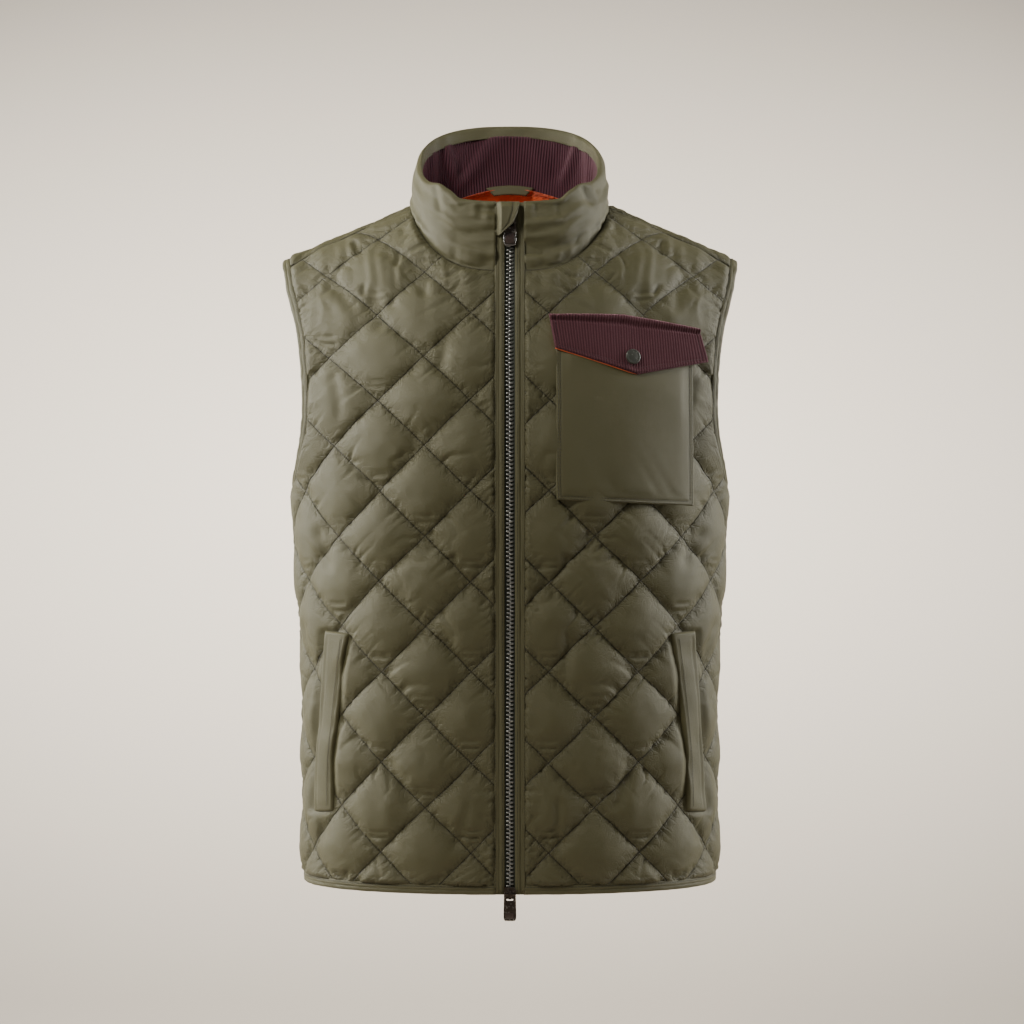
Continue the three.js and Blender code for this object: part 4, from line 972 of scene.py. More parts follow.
def add_collar_piece(name, columns, shares, outer, inner, turns=(0.0, 1.0), tuck=0.0):
    """A wall on the collar: outer and inner give the lift at each (turn, share).

    A tuck draws the lowest rows further down, over the fronts' and back's neck edges."""
    turn, share = np.meshgrid(np.linspace(*turns, columns), shares)
    moved = share - tuck * (1 - np.clip((share - shares[0]) / 0.3, 0, 1)) ** 2
    points = [collar_point(turn, moved, lift(turn, share)).reshape(-1, 3) for lift in (outer, inner)]
    piece = add_wall(name, *points, [grid_faces(columns, len(shares))])
    middle = collar_skin(turn[0], np.full(columns, 0.5))
    length = lengths(middle)
    tall = np.linalg.norm(collar_skin(turn[0], 1.0) - collar_skin(turn[0], 0.0), axis=-1)
    place = np.stack([np.broadcast_to(length, share.shape), share * tall], axis=-1).reshape(-1, 2)
    set_map(piece, "cloth", np.tile(place * MM, (2, 1)))
    return piece


def bell(t, middle, half):
    """exp(-((t - middle) / half)^2)."""
    return np.exp(-((t - middle) / half) ** 2)


def collar_outer(turn, share):
    """Padding that swells between seam and rim, rounds over at the top and creases a little."""
    ends = np.minimum(1, np.minimum(9 * turn, 9 - 9 * turn) + 0.35)
    swell = (COLLAR["puff"] * np.sin(np.pi * np.clip(share, 0, 1)) ** 0.45 + 1.5 * bell(share, 0.10, 0.075)) * ends
    roll = np.sqrt(1 - np.clip((share - 0.955) / 0.055, 0, 1) ** 2)
    from_end = np.minimum(turn, 1 - turn) * 540
    side = np.where(turn > 0.5, 3.7, 0.0)
    gathers = 1.6 * noise(turn * 75, share * 1.5, 41) * np.exp(-np.clip(share, 0, 1) * 7)
    drawn = 3.6 * noise(share * 9 + side + 0.5 * turn, from_end / 42, 43) * np.exp(-from_end / 40)
    sharp = np.clip(1 - np.abs(noise(share * 8 + side + from_end / 90, from_end / 60, 45)) / 0.3, 0, 1) ** 2
    drawn = drawn - 2.6 * sharp * np.exp(-from_end / 38)
    top = 3.0 * noise(from_end / 5.5 + side, share * 2, 44) * np.exp(-from_end / 26) * ease((share - 0.55) * 4)
    long = 1.6 * noise(turn * 9 + share * 2, share * 5, 47) + 0.8 * noise(turn * 30 + 3 * share, share * 6, 48)
    corners = sum(d * bell(turn + 0.05 * (share - 1), t, 0.010) for t, d in (
        (0.115, -2.2), (0.14, 1.4), (0.33, -2.0), (0.395, -3.0), (0.605, -3.0), (0.63, 1.5), (0.68, -2.2),
        (0.875, -2.2)))
    seam = np.sqrt(1 - (1 - np.clip((share + 0.03) / 0.10, 0, 1)) ** 2)
    over_seam = 2.8 * (1 - seam) * (1 - 0.5 * ease((np.abs(2 * turn - 1) - 0.65) / 0.25))
    return ((COLLAR["thick"] + swell) * roll * (0.25 + 0.75 * seam) + over_seam + gathers * ease((share + 0.02) * 20)
            + (drawn + top + long + corners * ease((share - 0.35) * 2)) * ease(share * 7) * ease((1.01 - share) * 9))


def rim_fold(turn, share):
    """Soft folds that hang from the rim's corners down the inside of the collar."""
    return sum(d * bell(turn + lean * (share - 0.5), t, half) for t, half, lean, d in (
        (0.385, 0.012, 0.05, -2.2), (0.41, 0.014, 0.05, 1.3), (0.455, 0.02, -0.08, -1.2), (0.545, 0.02, 0.10, -2.2),
        (0.575, 0.016, 0.10, 1.5), (0.61, 0.012, -0.04, -2.4), (0.635, 0.014, -0.04, 1.2), (0.33, 0.016, 0, -1.4),
        (0.67, 0.016, 0, -1.4))) * ease(np.clip(share, 0, 1) * 3)


rise = (1 - np.cos(np.linspace(0, np.pi, 40))) / 2
collar_inner = lambda t, v: -1.1 * ease((v - 0.9) * 12) * np.sqrt(1 - np.clip((v - 0.955) / 0.055, 0, 1) ** 2)
collar = add_collar_piece("collar_cloth", 260, -0.03 + 1.042 * rise, collar_outer, collar_inner, tuck=0.075)
collar.data.materials.append(TAPE_CLOTH)
facing = add_collar_piece("collar_facing_cloth", 220, np.linspace(FACING_SHARE, 1.004, 12),
                          lambda t, v: -0.3 - 0.3 * ease((v - 0.93) * 14),
                          lambda t, v: -2.5 + 1.2 * ease((v - 0.95) * 20) - 0.9 * ease((0.815 - v) * 60)
                          + 0.35 * noise(t * 60, v * 4, 51) + 0.55 * rim_fold(t, v) * ease((1.0 - v) * 20), (0.004, 0.996))
facing.data.materials.append(TAPE_CLOTH)
cut_sheet(facing)
band = add_collar_piece("collar_band_cloth", 240, np.linspace(-0.10, FACING_SHARE + 0.015, 24),
                        lambda t, v: -0.3 + 0 * v,
                        lambda t, v: -2.0 + 0.4 * noise(t * 26, v * 4, 53) + np.clip(1.7 * rim_fold(t, v), -3.4, 1.2),
                        (0.006, 0.994))


def rib_material(name, light, dark, pitch):
    """Ribbed cloth: rounded cords of one pitch, painted lighter on their crowns with painted shade in the grooves
    between, and a fine yarn on them.
    """
    material, nodes, shader, link = new_material(name)
    weave = use_group(nodes, WEAVE, Pitch=0.0009, Uneven=0.7)
    place = add_node(nodes, "SeparateXYZ")
    link(uv_of(nodes, "cloth"), weave.inputs["Place"])
    link(uv_of(nodes, "cloth"), place.inputs[0])
    rib = math(nodes, link, "PINGPONG", math(nodes, link, "DIVIDE", place.outputs[0], pitch), 0.5)
    crown = math(nodes, link, "SINE", math(nodes, link, "MULTIPLY", rib, np.pi))
    # Painted light and shade: the crowns take the light colour, the grooves the dark one.
    crown_painted_light = math(nodes, link, "POWER", crown, 0.7)
    colour = mixed(nodes, link, crown_painted_light, dark, light)
    colour = mixed(nodes, link, math(nodes, link, "MULTIPLY", weave.outputs["Fleck"], 0.5), colour, dark)
    normal = bumped(nodes, link, weave.outputs["Height"], 0.00012)
    link(bumped(nodes, link, crown, pitch * 0.35, under=normal), shader.inputs["Normal"])
    link(colour, shader.inputs["Base Color"])
    set_inputs(shader, Roughness=0.85, Sheen_Weight=0.45, Sheen_Roughness=0.35, Sheen_Tint=(0.75, 0.45, 0.5, 1),
               Specular_IOR_Level=0.2)
    return material


# PLUM_DEEP is the rib's painted groove shade; the corduroy also uses it for its darker flecks.
PLUM, PLUM_DEEP = (0.080, 0.025, 0.036), (0.024, 0.008, 0.012)
band.data.materials.append(rib_material("plum_rib", PLUM, PLUM_DEEP, 0.0029))
cut_sheet(band)
for piece, node, slot in ((collar, "collar", "collar_shell"), (facing, "collar_facing", "binding"),
                          (band, "collar_band", "corduroy")):
    fit(piece, node)

# The hanger loop: a folded tape sewn into the back neck seam by both ends, slack in the middle.
LOOP = {"half": 0.0435, "foot": 0.030, "low": -0.16, "high": -0.01, "lift": -3.6, "thick": 1.7,
        "round": 0.54, "tall": 0.068}
across_loop, up_loop = np.meshgrid(np.linspace(-1, 1, 28), np.linspace(0, 1, 7))
loop_turn = 0.5 + across_loop * (LOOP["foot"] + (LOOP["half"] - LOOP["foot"]) * up_loop)
loop_share = LOOP["low"] + (LOOP["high"] - LOOP["low"]) * up_loop - 0.01 * (1 - across_loop ** 2)
loop_lift = LOOP["lift"] - 1.6 * (1 - across_loop ** 2)
loop_sides = [collar_point(loop_turn, loop_share, loop_lift + away * LOOP["thick"] / 2).reshape(-1, 3)
              for away in (1, -1)]
loop = add_wall("hanger_loop_tape", *loop_sides, [grid_faces(28, 7)])
loop_map = np.stack([loop_turn * LOOP["round"], loop_share * LOOP["tall"]], axis=-1).reshape(-1, 2)
set_map(loop, "cloth", np.tile(loop_map, (2, 1)))
loop.data.materials.append(TAPE_CLOTH)
cut_sheet(loop)
fit(loop, "hanger_loop")

# The zip: a two-way chain of moulded teeth on two woven tapes, between two folded strips of the
# shell's cloth that are sewn along the fronts' edges. The chain wavers a little between its ends.
STRIP = {"low": -656.0, "top": 11.0, "blend": 4.0, "step": 6.0}
TEETH = {"low": -650.0, "top": -9.0, "pitch": 3.9, "reach": (-0.9, 3.7), "half_up": 1.25, "lift": (-2.1, 1.0),
         "head": 1.2, "neck": 0.72}
TAPE, TAPE_DEEP = (0.036, 0.040, 0.029), (0.022, 0.025, 0.018)
DARK_METAL, WORN_METAL = (0.058, 0.045, 0.036), (0.30, 0.28, 0.26)


def front_skin(x, z):
    """The surface straight behind a place in the front view, by the body's section or the climb."""
    reach = np.abs(x)
    low = -body_size("front", z) * full_of(side_at(reach, body_size("width", z)))
    side = reach / WAIST
    for _ in range(12):
        rise = climb("front", side, full_of(side))[1]
        share = np.clip((z - UNDERARM) / rise, 0, 0.999)
        side = side_at(reach, np.interp(share, YOKE_SHARE, YOKE_WIDTH))
    ridge, rise, run = climb("front", side, full_of(side))
    return np.stack([x, np.where(z <= UNDERARM, low, ridge + run * np.cos(np.arcsin(share))), z], axis=-1)


def on_front(x, z, lift):
    """A point at a lift above the front's surface, along its normal."""
    x, z = np.broadcast_arrays(np.asarray(x, dtype=float), np.asarray(z, dtype=float))
    normal = np.cross(front_skin(x + 1, z) - front_skin(x - 1, z), front_skin(x, z + 1) - front_skin(x, z - 1))
    normal /= np.linalg.norm(normal, axis=-1, keepdims=True)
    return front_skin(x, z) + normal * np.asarray(lift)[..., None]


COLLAR_FOOT, COLLAR_TOP = collar_skin(0.0, 0.0), collar_skin(0.0, 1.0)


def centre_y(z):
    """Depth of the middle of the front: the body's surface, then the collar's straight slope."""
    low = front_skin(np.zeros_like(z), np.minimum(z, COLLAR_FOOT[2]))[..., 1]
    share = (z - COLLAR_FOOT[2]) / (COLLAR_TOP[2] - COLLAR_FOOT[2])
    return np.where(z >= COLLAR_FOOT[2], COLLAR_FOOT[1] + (COLLAR_TOP[1] - COLLAR_FOOT[1]) * share, low)


def centre_path(low, top, step):
    """Points and normals up the middle of the front, the bend at the collar rounded."""
    z = np.linspace(low, top, int((top - low) / step) + 1)
    before, after = centre_y(z - STRIP["blend"]), centre_y(z + STRIP["blend"])
    slope = (after - before) / (2 * STRIP["blend"])
    normal = np.stack([0 * z, -np.ones_like(z), slope], axis=-1)
    return np.stack([0 * z, (before + after) / 2, z], axis=-1), normal / np.linalg.norm(normal, axis=1, keepdims=True)


def mirrored_path(points, normals):
    """The same path on the other side, run the other way so that its faces still point outwards."""
    return points[::-1] * FLIP, normals[::-1] * FLIP


def chain_wave(z):
    """How far the chain wavers sideways: smooth, under a millimetre, still at the sliders."""
    hold = ease((z - TEETH["low"]) / 60) * ease((TEETH["top"] - z) / 60)
    return 0.75 * hold * noise(z / 46, 0 * z, 61)


centre, centre_up = centre_path(STRIP["low"], STRIP["top"], STRIP["step"])
centre[:, 0] = chain_wave(centre[:, 2])
straight, straight_up = centre_path(STRIP["low"], STRIP["top"], STRIP["step"])
# Outlines of the strip and the tape: how far from the middle of the zip, and how far off the body.
PLACKET = np.array([(5.2, -0.2), (4.9, 0.7), (5.3, 1.5), (6.2, 1.95), (8.6, 2.05), (9.6, 1.9), (10.3, 0.9),
                    (11.0, 1.8), (12.2, 1.35), (13.0, 1.5), (14.3, 1.6), (14.9, 1.1), (13.2, -0.2)])[::-1]
TAPE_PROFILE = np.array([(0.15, -1.5), (0.15, -0.6), (5.0, -0.5), (13.2, -0.7), (13.2, -1.5)])[::-1]
zip_tape = cloth_material("zip_tape", TAPE, TAPE_DEEP, TAPE_DEEP, rough=0.7, sheen=0.15, tint=(0.5, 0.52, 0.42),
                          pitch=0.0011, uneven=0.3)
for side, wavy, plain in (("left", (centre, centre_up), (straight, straight_up)),
                          ("right", mirrored_path(centre * FLIP, centre_up), mirrored_path(straight, straight_up))):
    tape = swept("zip_tape_" + side + "_cloth", *wavy, TAPE_PROFILE, False)
    tape.data.materials.append(zip_tape)
    placket = swept("zip_placket_" + side + "_cloth", *plain, PLACKET, False, 0.30, 7 if side == "left" else 12)
    placket.data.materials.append(TAPE_CLOTH)
    fit(tape, "zip_tape_" + side)
    fit(placket, "zip_placket_" + side)
    for row, aside, height in (("inner", 7.1, 2.0), ("outer", 13.7, 1.5)):
        made = add_stitches("zip_stitches_" + row + "_" + side, *plain, OLIVE_THREAD, aside=aside, lift=height)


def add_teeth(name, sign, offset):
    """One side's teeth: rounded blocks, x^4 + y^4 + z^4 = 1, at one pitch up the chain."""
    points, normals = centre_path(TEETH["low"], TEETH["top"], 2.0)
    z = np.arange(TEETH["low"] + offset, TEETH["top"], TEETH["pitch"])
    place, out = (at_lengths(z, points[:, 2], v) for v in (points, normals))
    run = np.cross(out, [1.0, 0, 0])
    turn, tilt = np.meshgrid(np.arange(10) * np.pi / 5, np.linspace(-np.pi / 2, np.pi / 2, 7))
    shape = lambda v: np.sign(v) * np.abs(v) ** 0.5
    unit = [shape(np.cos(tilt) * np.cos(turn)), shape(np.cos(tilt) * np.sin(turn)), shape(np.sin(tilt))]
    near, far = TEETH["reach"]
    x = (near + far) / 2 + (far - near) / 2 * unit[0]
    lift = sum(TEETH["lift"]) / 2 + (TEETH["lift"][1] - TEETH["lift"][0]) / 2 * unit[2]
    narrow = np.where(x < TEETH["head"], 1.0, TEETH["neck"])
    rise = TEETH["half_up"] * unit[1] * narrow
    rings = (place[:, None, None] + run[:, None, None] * rise[..., None] + out[:, None, None] * lift[..., None])
    rings[..., 0] = sign * x + chain_wave(z)[:, None, None]
    at = np.arange(rings.size // 3).reshape(len(z), 7, 10)
    quads = np.stack([at[:, :-1], np.roll(at[:, :-1], -1, 2), np.roll(at[:, 1:], -1, 2), at[:, 1:]], -1).reshape(-1, 4)
    return add_mesh(name, rings, [quads if sign < 0 else quads[:, ::-1]])


def metal_material(name, colour, worn, rough, metal):
    """Painted or plated metal: fine mottling, and small scuffs that bare a lighter metal."""
    material, nodes, shader, link = new_material(name)
    scuff = add_node(nodes, "TexNoise", Scale=420, Detail=4)
    link(add_node(nodes, "TexCoord").outputs["Object"], scuff.inputs["Vector"])
    mask = math(nodes, link, "MULTIPLY", math(nodes, link, "SUBTRACT", scuff.outputs["Fac"], 0.56), 5)
    mask = math(nodes, link, "MINIMUM", math(nodes, link, "MAXIMUM", mask, 0), 1)
    link(mixed(nodes, link, mask, colour, worn), shader.inputs["Base Color"])
    uneven = math(nodes, link, "MULTIPLY", scuff.outputs["Fac"], 0.25)
    link(math(nodes, link, "ADD", uneven, rough - 0.12), shader.inputs["Roughness"])
    link(bumped(nodes, link, scuff.outputs["Fac"], 0.00005), shader.inputs["Normal"])
    set_inputs(shader, Metallic=metal)
    return material


teeth_metal = metal_material("zip_teeth_metal", (0.20, 0.20, 0.19), (0.50, 0.50, 0.48), 0.30, 0.75)
for side, sign, offset in (("left", 1, 0.0), ("right", -1, TEETH["pitch"] / 2)):
    teeth = add_teeth("zip_chain_" + side, sign, offset)
    teeth.data.materials.append(teeth_metal)
    fit(teeth, "zip_teeth_" + side)
slider_metal = metal_material("dark_slider_metal", DARK_METAL, WORN_METAL, 0.34, 0.8)


for node in ("top_slider", "bottom_slider"):
    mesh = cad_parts[node].data
    mesh.materials.clear()
    mesh.materials.append(slider_metal)

# The pull tabs: flat dark metal drops with a slot at the top that hangs on the slider's bridge, a
# brighter rim round the edge, and a sunk grip of brown plastic near the foot.
PULL = {"above": 1.1, "below": 24.5, "top_half": 5.7, "foot_half": 6.2, "half": 1.0,
        "slot_half": 3.2, "slot": (-1.0, -5.2)}
PULL_AXIS = {"top": (0, -90.8616, -7.2735), "bottom": (0, -135.4, -656.0)}


def rounded(turn, middle, half_wide, half_tall, power=7):
    """A rounded rectangle: |x/a|^n + |z/b|^n = 1 by its angle."""
    c, s = np.cos(turn), np.sin(turn)
    across_it, up_it = (np.sign(v) * np.abs(v) ** (2 / power) for v in (c, s))
    return half_wide * across_it, middle + half_tall * up_it


def add_pull(place):
    """A tab with a slot: rings from the slot over the front, round the outer edge and back again."""
    turn = np.linspace(0, 2 * np.pi, 73)[:-1]
    tall = (PULL["above"] + PULL["below"]) / 2
    x, z = rounded(turn, PULL["above"] - tall, 1.0, tall)
    half = PULL["top_half"] + (PULL["foot_half"] - PULL["top_half"]) * np.clip((PULL["above"] - z) / (2 * tall), 0, 1)
    outer = np.stack([x * half, z], axis=-1)
    slot = np.stack(rounded(turn, sum(PULL["slot"]) / 2, PULL["slot_half"], 2.1), axis=-1)
    rows = [(0.0, 0.75), (0.04, 0.95), (0.5, 0.95), (0.93, 0.95), (0.955, 1.0), (0.985, 1.0), (1.0, 0.8),
            (1.0, -0.8), (0.985, -1.0), (0.5, -1.0), (0.04, -1.0), (0.0, -0.8)]
    share, depth = np.array(rows).T
    flat = slot[None] + (outer - slot)[None] * share[:, None, None]
    points = np.stack([flat[..., 0], np.broadcast_to(-depth[:, None], flat.shape[:2]), flat[..., 1]], axis=-1)
    return add_mesh(place + "_pull_tab", points + PULL_AXIS[place], [tube_faces(len(rows), 72, True)[:, ::-1]]), outer


def add_pull_rim(place, outline):
    """A bright bead along the lower part of the tab's edge, a tube with closed ends."""
    low = outline[outline[:, 1] < -9]
    low = low[np.argsort(np.arctan2(low[:, 0], -(low[:, 1] + 12)))]
    path = np.stack([low[:, 0] * 0.94, np.full(len(low), -0.75), (low[:, 1] + 12) * 0.955 - 12], axis=-1)
    path = path + PULL_AXIS[place]
    turn = np.linspace(0, 2 * np.pi, 9)[:-1]
    profile = np.stack([0.42 * np.cos(turn), 0.42 * np.sin(turn)], axis=-1)
    points, normals = evened(path, np.tile([0.0, -1, 0], (len(path), 1)), 0.8, False)
    return swept(place + "_pull_rim", points, normals, profile, False)


def add_grip(place):
    """A low pad on the tab's face with a crown, rows of a rounded rectangle drawn to its middle."""
    turn = np.linspace(0, 2 * np.pi, 49)[:-1]
    rows = [(1.0, 0.8), (0.97, 1.12), (0.9, 1.3), (0.6, 1.38), (0.25, 1.4), (0.02, 1.4)]
    x, z = rounded(turn, 0, 4.3, 3.1 if place == "bottom" else 5.2, 5)
    middle = -19.6 if place == "bottom" else -17.2
    points = np.stack([np.stack([x * s, np.full_like(x, -d), middle + z * s], axis=-1) for s, d in rows])
    end = np.arange(48)[None]
    faces = [tube_faces(len(rows), 48), end + (len(rows) - 1) * 48, end[:, ::-1]]
    return add_mesh(place + "_pull_grip", points + PULL_AXIS[place], faces)


def grip_material():
    """Glossy brown plastic with faint scratches."""
    material, nodes, shader, link = new_material("brown_grip_plastic")
    scratch = add_node(nodes, "TexNoise", Scale=600)
    link(add_node(nodes, "TexCoord").outputs["Object"], scratch.inputs["Vector"])
    brown = mixed(nodes, link, scratch.outputs["Fac"], (0.022, 0.013, 0.010), (0.060, 0.040, 0.034))
    link(brown, shader.inputs["Base Color"])
    link(bumped(nodes, link, scratch.outputs["Fac"], 0.00004), shader.inputs["Normal"])
    set_inputs(shader, Roughness=0.22, Coat_Weight=0.4)
    return material


rim_metal = metal_material("bright_rim_metal", (0.40, 0.38, 0.36), (0.62, 0.60, 0.57), 0.26, 0.9)
grip_plastic = grip_material()
for place in ("top", "bottom"):
    tab, outline = add_pull(place)
    tab.data.materials.append(slider_metal)
    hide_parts(place + "_pull")
    rim = add_pull_rim(place, outline)
    rim.data.materials.append(rim_metal if place == "top" else slider_metal)
    grip = add_grip(place)
    grip.data.materials.append(grip_plastic)
    for piece in (tab, rim, grip):
        fit(piece, body=place + "_pull")

# The chin guard: a curved tab of the shell's cloth over the zip's top, sewn down its left edge in
# the front view and turned and stitched round its free edge.
GUARD_Z, GUARD_RIGHT = (-21.6, -16, -10, 0, 6, 11.5), (-10.2, -3.6, 3.1, 7.4, 8.6, 9.4)
GUARD_LIFT = (7, 10.3, 10.5, 10.3, 10.1, 5)
GUARD = {"seam": -12.9, "seam_lift": 2.0, "thick": 1.4}


def guard_point(u, v, lift):
    """Across from the seam to the curved free edge, lifted off the strip within five millimetres."""
    z = GUARD_Z[0] + (GUARD_Z[-1] - GUARD_Z[0]) * v
    right = np.interp(z, GUARD_Z, GUARD_RIGHT)
    x = GUARD["seam"] + (right - GUARD["seam"]) * u
    rise = GUARD["seam_lift"] + (np.interp(z, GUARD_Z, GUARD_LIFT) - GUARD["seam_lift"]) * ease((x - GUARD["seam"]) / 5)
    return np.stack([x, centre_y(z) - rise - lift, z], axis=-1)


u, v = np.meshgrid(np.linspace(0, 1, 36), np.linspace(0, 1, 44))
roll = np.sqrt(np.clip(1 - np.clip(1 - (1 - u) * 22, 0, 1) ** 2, 0, 1))
from_free = (1 - u) * 20
swell = 0.35 * noise(u * 4, v * 6, 71) + 0.5 * bell(from_free, 1.6, 1) - 0.45 * bell(from_free, 5.5, 0.9)
guard_front, guard_back = guard_point(u, v, 0.7 + (0.75 + swell) * roll), guard_point(u, v, 0.7 - 0.7 * roll)
guard = add_wall("chin_guard_cloth", guard_front.reshape(-1, 3), guard_back.reshape(-1, 3), [grid_faces(36, 44)])
set_map(guard, "cloth", np.tile(np.stack([u * 22, v * 36], axis=-1).reshape(-1, 2) * MM, (2, 1)))
guard.data.materials.append(TAPE_CLOTH)
cut_sheet(guard)
fit(guard, "chin_guard")
for name, share, v_range in (("free", 0.72, (0.1, 0.99)), ("seam", 0.05, (0.02, 0.98))):
    along_v = np.linspace(*v_range, 60)
    path = guard_point(np.full(60, share), along_v, 1.35)
    made = add_stitches("guard_stitches_" + name, path, np.tile([0.0, -1, 0], (60, 1)), OLIVE_THREAD, pitch=2.4)

# The chest pocket: a plain patch of the shell's cloth with turned and stitched edges, closed by a
# pointed flap of plum corduroy that is lined in the orange taffeta and held by a snap fastener.
PATCH = {"left": 43.5, "right": 174.5, "top": -122.0, "foot_left": -278.5, "foot_right": -284.0, "lift": 6.4,
         "wide": 134.5, "tall": 160.0}
FLAP_TOP = ((0, 0.46, 1), (36.5, 106.5, 179.5), (-102.5, -102, -113.5))
FLAP_FOOT = ((0, 0.54, 0.9, 1), (42, 119.5, 170.5, 187.5), (-134.5, -159.5, -149, -145.5))
FLAP = {"lift": 10.2, "thick": 1.5, "lining": 8.6, "wide": 150, "tall": 46, "lining_tall": 43, "wales": 57}


def add_laid(name, x, z, outer, inner, size):
    """A closed wall laid on the left front: places in the front view, with an outer and inner lift."""
    points = [on_front(x, z, lift).reshape(-1, 3) for lift in (outer, inner)]
    piece = add_wall(name, *points, [grid_faces(x.shape[1], x.shape[0])])
    place = np.stack(np.meshgrid(np.linspace(0, size[0], x.shape[1]), np.linspace(0, size[1], x.shape[0])), axis=-1)
    set_map(piece, "cloth", np.tile(place.reshape(-1, 2) * MM, (2, 1)))
    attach(piece, "vest")
    return piece


def turned_edge(distance, radius=1.6):
    """Share of the thickness near a turned edge, a quarter circle over the radius."""
    return np.sqrt(np.clip(1 - np.clip(1 - distance / radius, 0, 1) ** 2, 0, 1))


def line_near(count, low, high):
    """Places from low to high with extra ones close to both ends, for turned edges and stitch rows."""
    even = np.linspace(low, high, count)
    close = np.array([0.25, 0.6, 1.0, 1.6, 2.6, 4.2])
    return np.unique(np.concatenate([even, low + close, high - close]))


def patch_place(s, t):
    """The patch in the front view, by millimetres across and up its cut: its sides waver a little."""
    u, v = s / PATCH["wide"], t / PATCH["tall"]
    x = PATCH["left"] + (PATCH["right"] - PATCH["left"]) * u + 0.7 * noise(v * 5, u, 81) * (1 - u)
    foot = PATCH["foot_left"] + (PATCH["foot_right"] - PATCH["foot_left"]) * u
    return x - 0.75 * u * (1 - v), foot * (1 - v) + PATCH["top"] * v


def stitches_on_front(name, x, z, lift, thread, slot, mirror=False):
    """A row of stitches along places in the front view, with repeated places left out."""
    base = on_front(x, z, lift)
    up = on_front(x, z, lift + 1) - base
    keep = np.concatenate([[True], np.linalg.norm(np.diff(base, axis=0), axis=1) > 0.05])
    path = mirrored_path(base[keep], up[keep]) if mirror else (base[keep], up[keep])
    add_stitches(name, *path, thread)


s, t = np.meshgrid(line_near(66, 0, PATCH["wide"]), line_near(74, 0, PATCH["tall"]))
edge = np.minimum(np.minimum(s, PATCH["wide"] - s), t)
sag = 0.9 * noise(s / 38, t / 50, 83) + 1.1 * np.exp(-((s * 0.35 + t - 150) / 22) ** 2) * ease(edge / 20)
pull_lines = (1.3 * noise((s + 0.6 * t) / 7, t / 60, 85) * np.exp(-t / 14)
              + 0.4 * noise(t / 8, s / 70, 87) * np.exp(-s / 14))
sewn = -0.4 * np.exp(-((edge - 3.8) / 0.8) ** 2)
body = (0.8 + (0.5 + sag + pull_lines) * ease((edge - 5) / 9) + sewn) * turned_edge(edge)
patch = add_laid("chest_pocket_cloth", *patch_place(s, t), PATCH["lift"] + 0.5 + body,
                 PATCH["lift"] - 3.2 * (1 - ease(edge / 12)), (PATCH["wide"], PATCH["tall"]))
patch.data.materials.append(TAPE_CLOTH)
cut_sheet(patch)
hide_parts("chest_pocket")
for name, inset in (("outer", 1.5), ("inner", 3.8)):
    ends = ((inset, 158), (inset, inset), (PATCH["wide"] - inset, inset), (PATCH["wide"] - inset, 158))
    place = [np.concatenate([np.linspace(a[k], b[k], 60) for a, b in zip(ends, ends[1:])]) for k in (0, 1)]
    stitches_on_front("pocket_stitches_" + name, *patch_place(*place), np.full(180, PATCH["lift"] + 1.25),
                      OLIVE_THREAD, "pocket_cloth")


def flap_place(u, v):
    """The flap in the front view: across and up between its top edge and its pointed foot."""
    top = [np.interp(u, FLAP_TOP[0], FLAP_TOP[k]) for k in (1, 2)]
    foot = [np.interp(u, FLAP_FOOT[0], FLAP_FOOT[k]) for k in (1, 2)]
    return [f + (t - f) * v for f, t in zip(foot, top)]


def flap_sway(u, v):
    """How the flap's cloth bends off the pocket: uneven, and fuller towards the foot."""
    return 0.9 * noise(u * 4, v * 1.5, 93), 0.6 * (1 - v) * np.sin(np.pi * u * 1.5) ** 2


u = np.linspace(0, 1, FLAP["wales"] * 6 + 1)
v = np.unique(np.concatenate([np.linspace(0, 1, 30), [0.01, 0.025, 0.045, 0.975, 0.99]]))
u, v = np.meshgrid(u, v)
side_edge, foot_edge, top_edge = np.minimum(u, 1 - u) * FLAP["wide"], v * FLAP["tall"], (1 - v) * FLAP["tall"]
edge = np.minimum(side_edge, np.minimum(foot_edge, top_edge))
cords = 0.5 * np.abs(np.sin(np.pi * u * FLAP["wales"])) ** 0.8 * (1 - 0.25 * noise(u * 40, v * 9, 91))
fold = 2.4 * bell(top_edge, 3.2, 2.4) - 1.7 * bell(top_edge, 7.4, 1.0)
stitched = -0.5 * bell(np.minimum(side_edge, foot_edge), 5.0, 1.0)
bend, full = flap_sway(u, v)
lift = FLAP["lift"] + bend * ease(foot_edge / 10) + full
outer = lift + FLAP["thick"] * turned_edge(edge, 1.4) + (cords + stitched) * ease(edge / 1.6) + fold
flap = add_laid("pocket_flap_cloth", *flap_place(u, v), outer, lift - 0.4 * turned_edge(edge, 1.4),
                (FLAP["wide"], FLAP["tall"]))
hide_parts("pocket_flap")


def corduroy_material():
    """Cut pile cords of the flap: painted light on the crowns and painted shade between, with a strong velvet sheen."""
    material, nodes, shader, link = new_material("plum_corduroy")
    place = add_node(nodes, "SeparateXYZ")
    weave = use_group(nodes, WEAVE, Pitch=0.0007, Uneven=0.9)
    link(uv_of(nodes, "cloth"), weave.inputs["Place"])
    link(uv_of(nodes, "cloth"), place.inputs[0])
    cord = math(nodes, link, "MULTIPLY", place.outputs[0], FLAP["wales"] * np.pi / (FLAP["wide"] * MM))
    crown = math(nodes, link, "POWER", math(nodes, link, "ABSOLUTE", math(nodes, link, "SINE", cord)), 0.8)
    # Painted shade in the grooves and painted light on the crowns of the cords.
    colour = mixed(nodes, link, crown, (0.034, 0.013, 0.017), (0.118, 0.046, 0.054))
    colour = mixed(nodes, link, math(nodes, link, "MULTIPLY", weave.outputs["Fleck"], 0.6), colour, PLUM_DEEP)
    link(colour, shader.inputs["Base Color"])
    link(bumped(nodes, link, weave.outputs["Height"], 0.00016), shader.inputs["Normal"])
    set_inputs(shader, Roughness=0.9, Sheen_Weight=0.6, Sheen_Roughness=0.3, Sheen_Tint=(0.8, 0.42, 0.48, 1),
               Specular_IOR_Level=0.15)
    return material


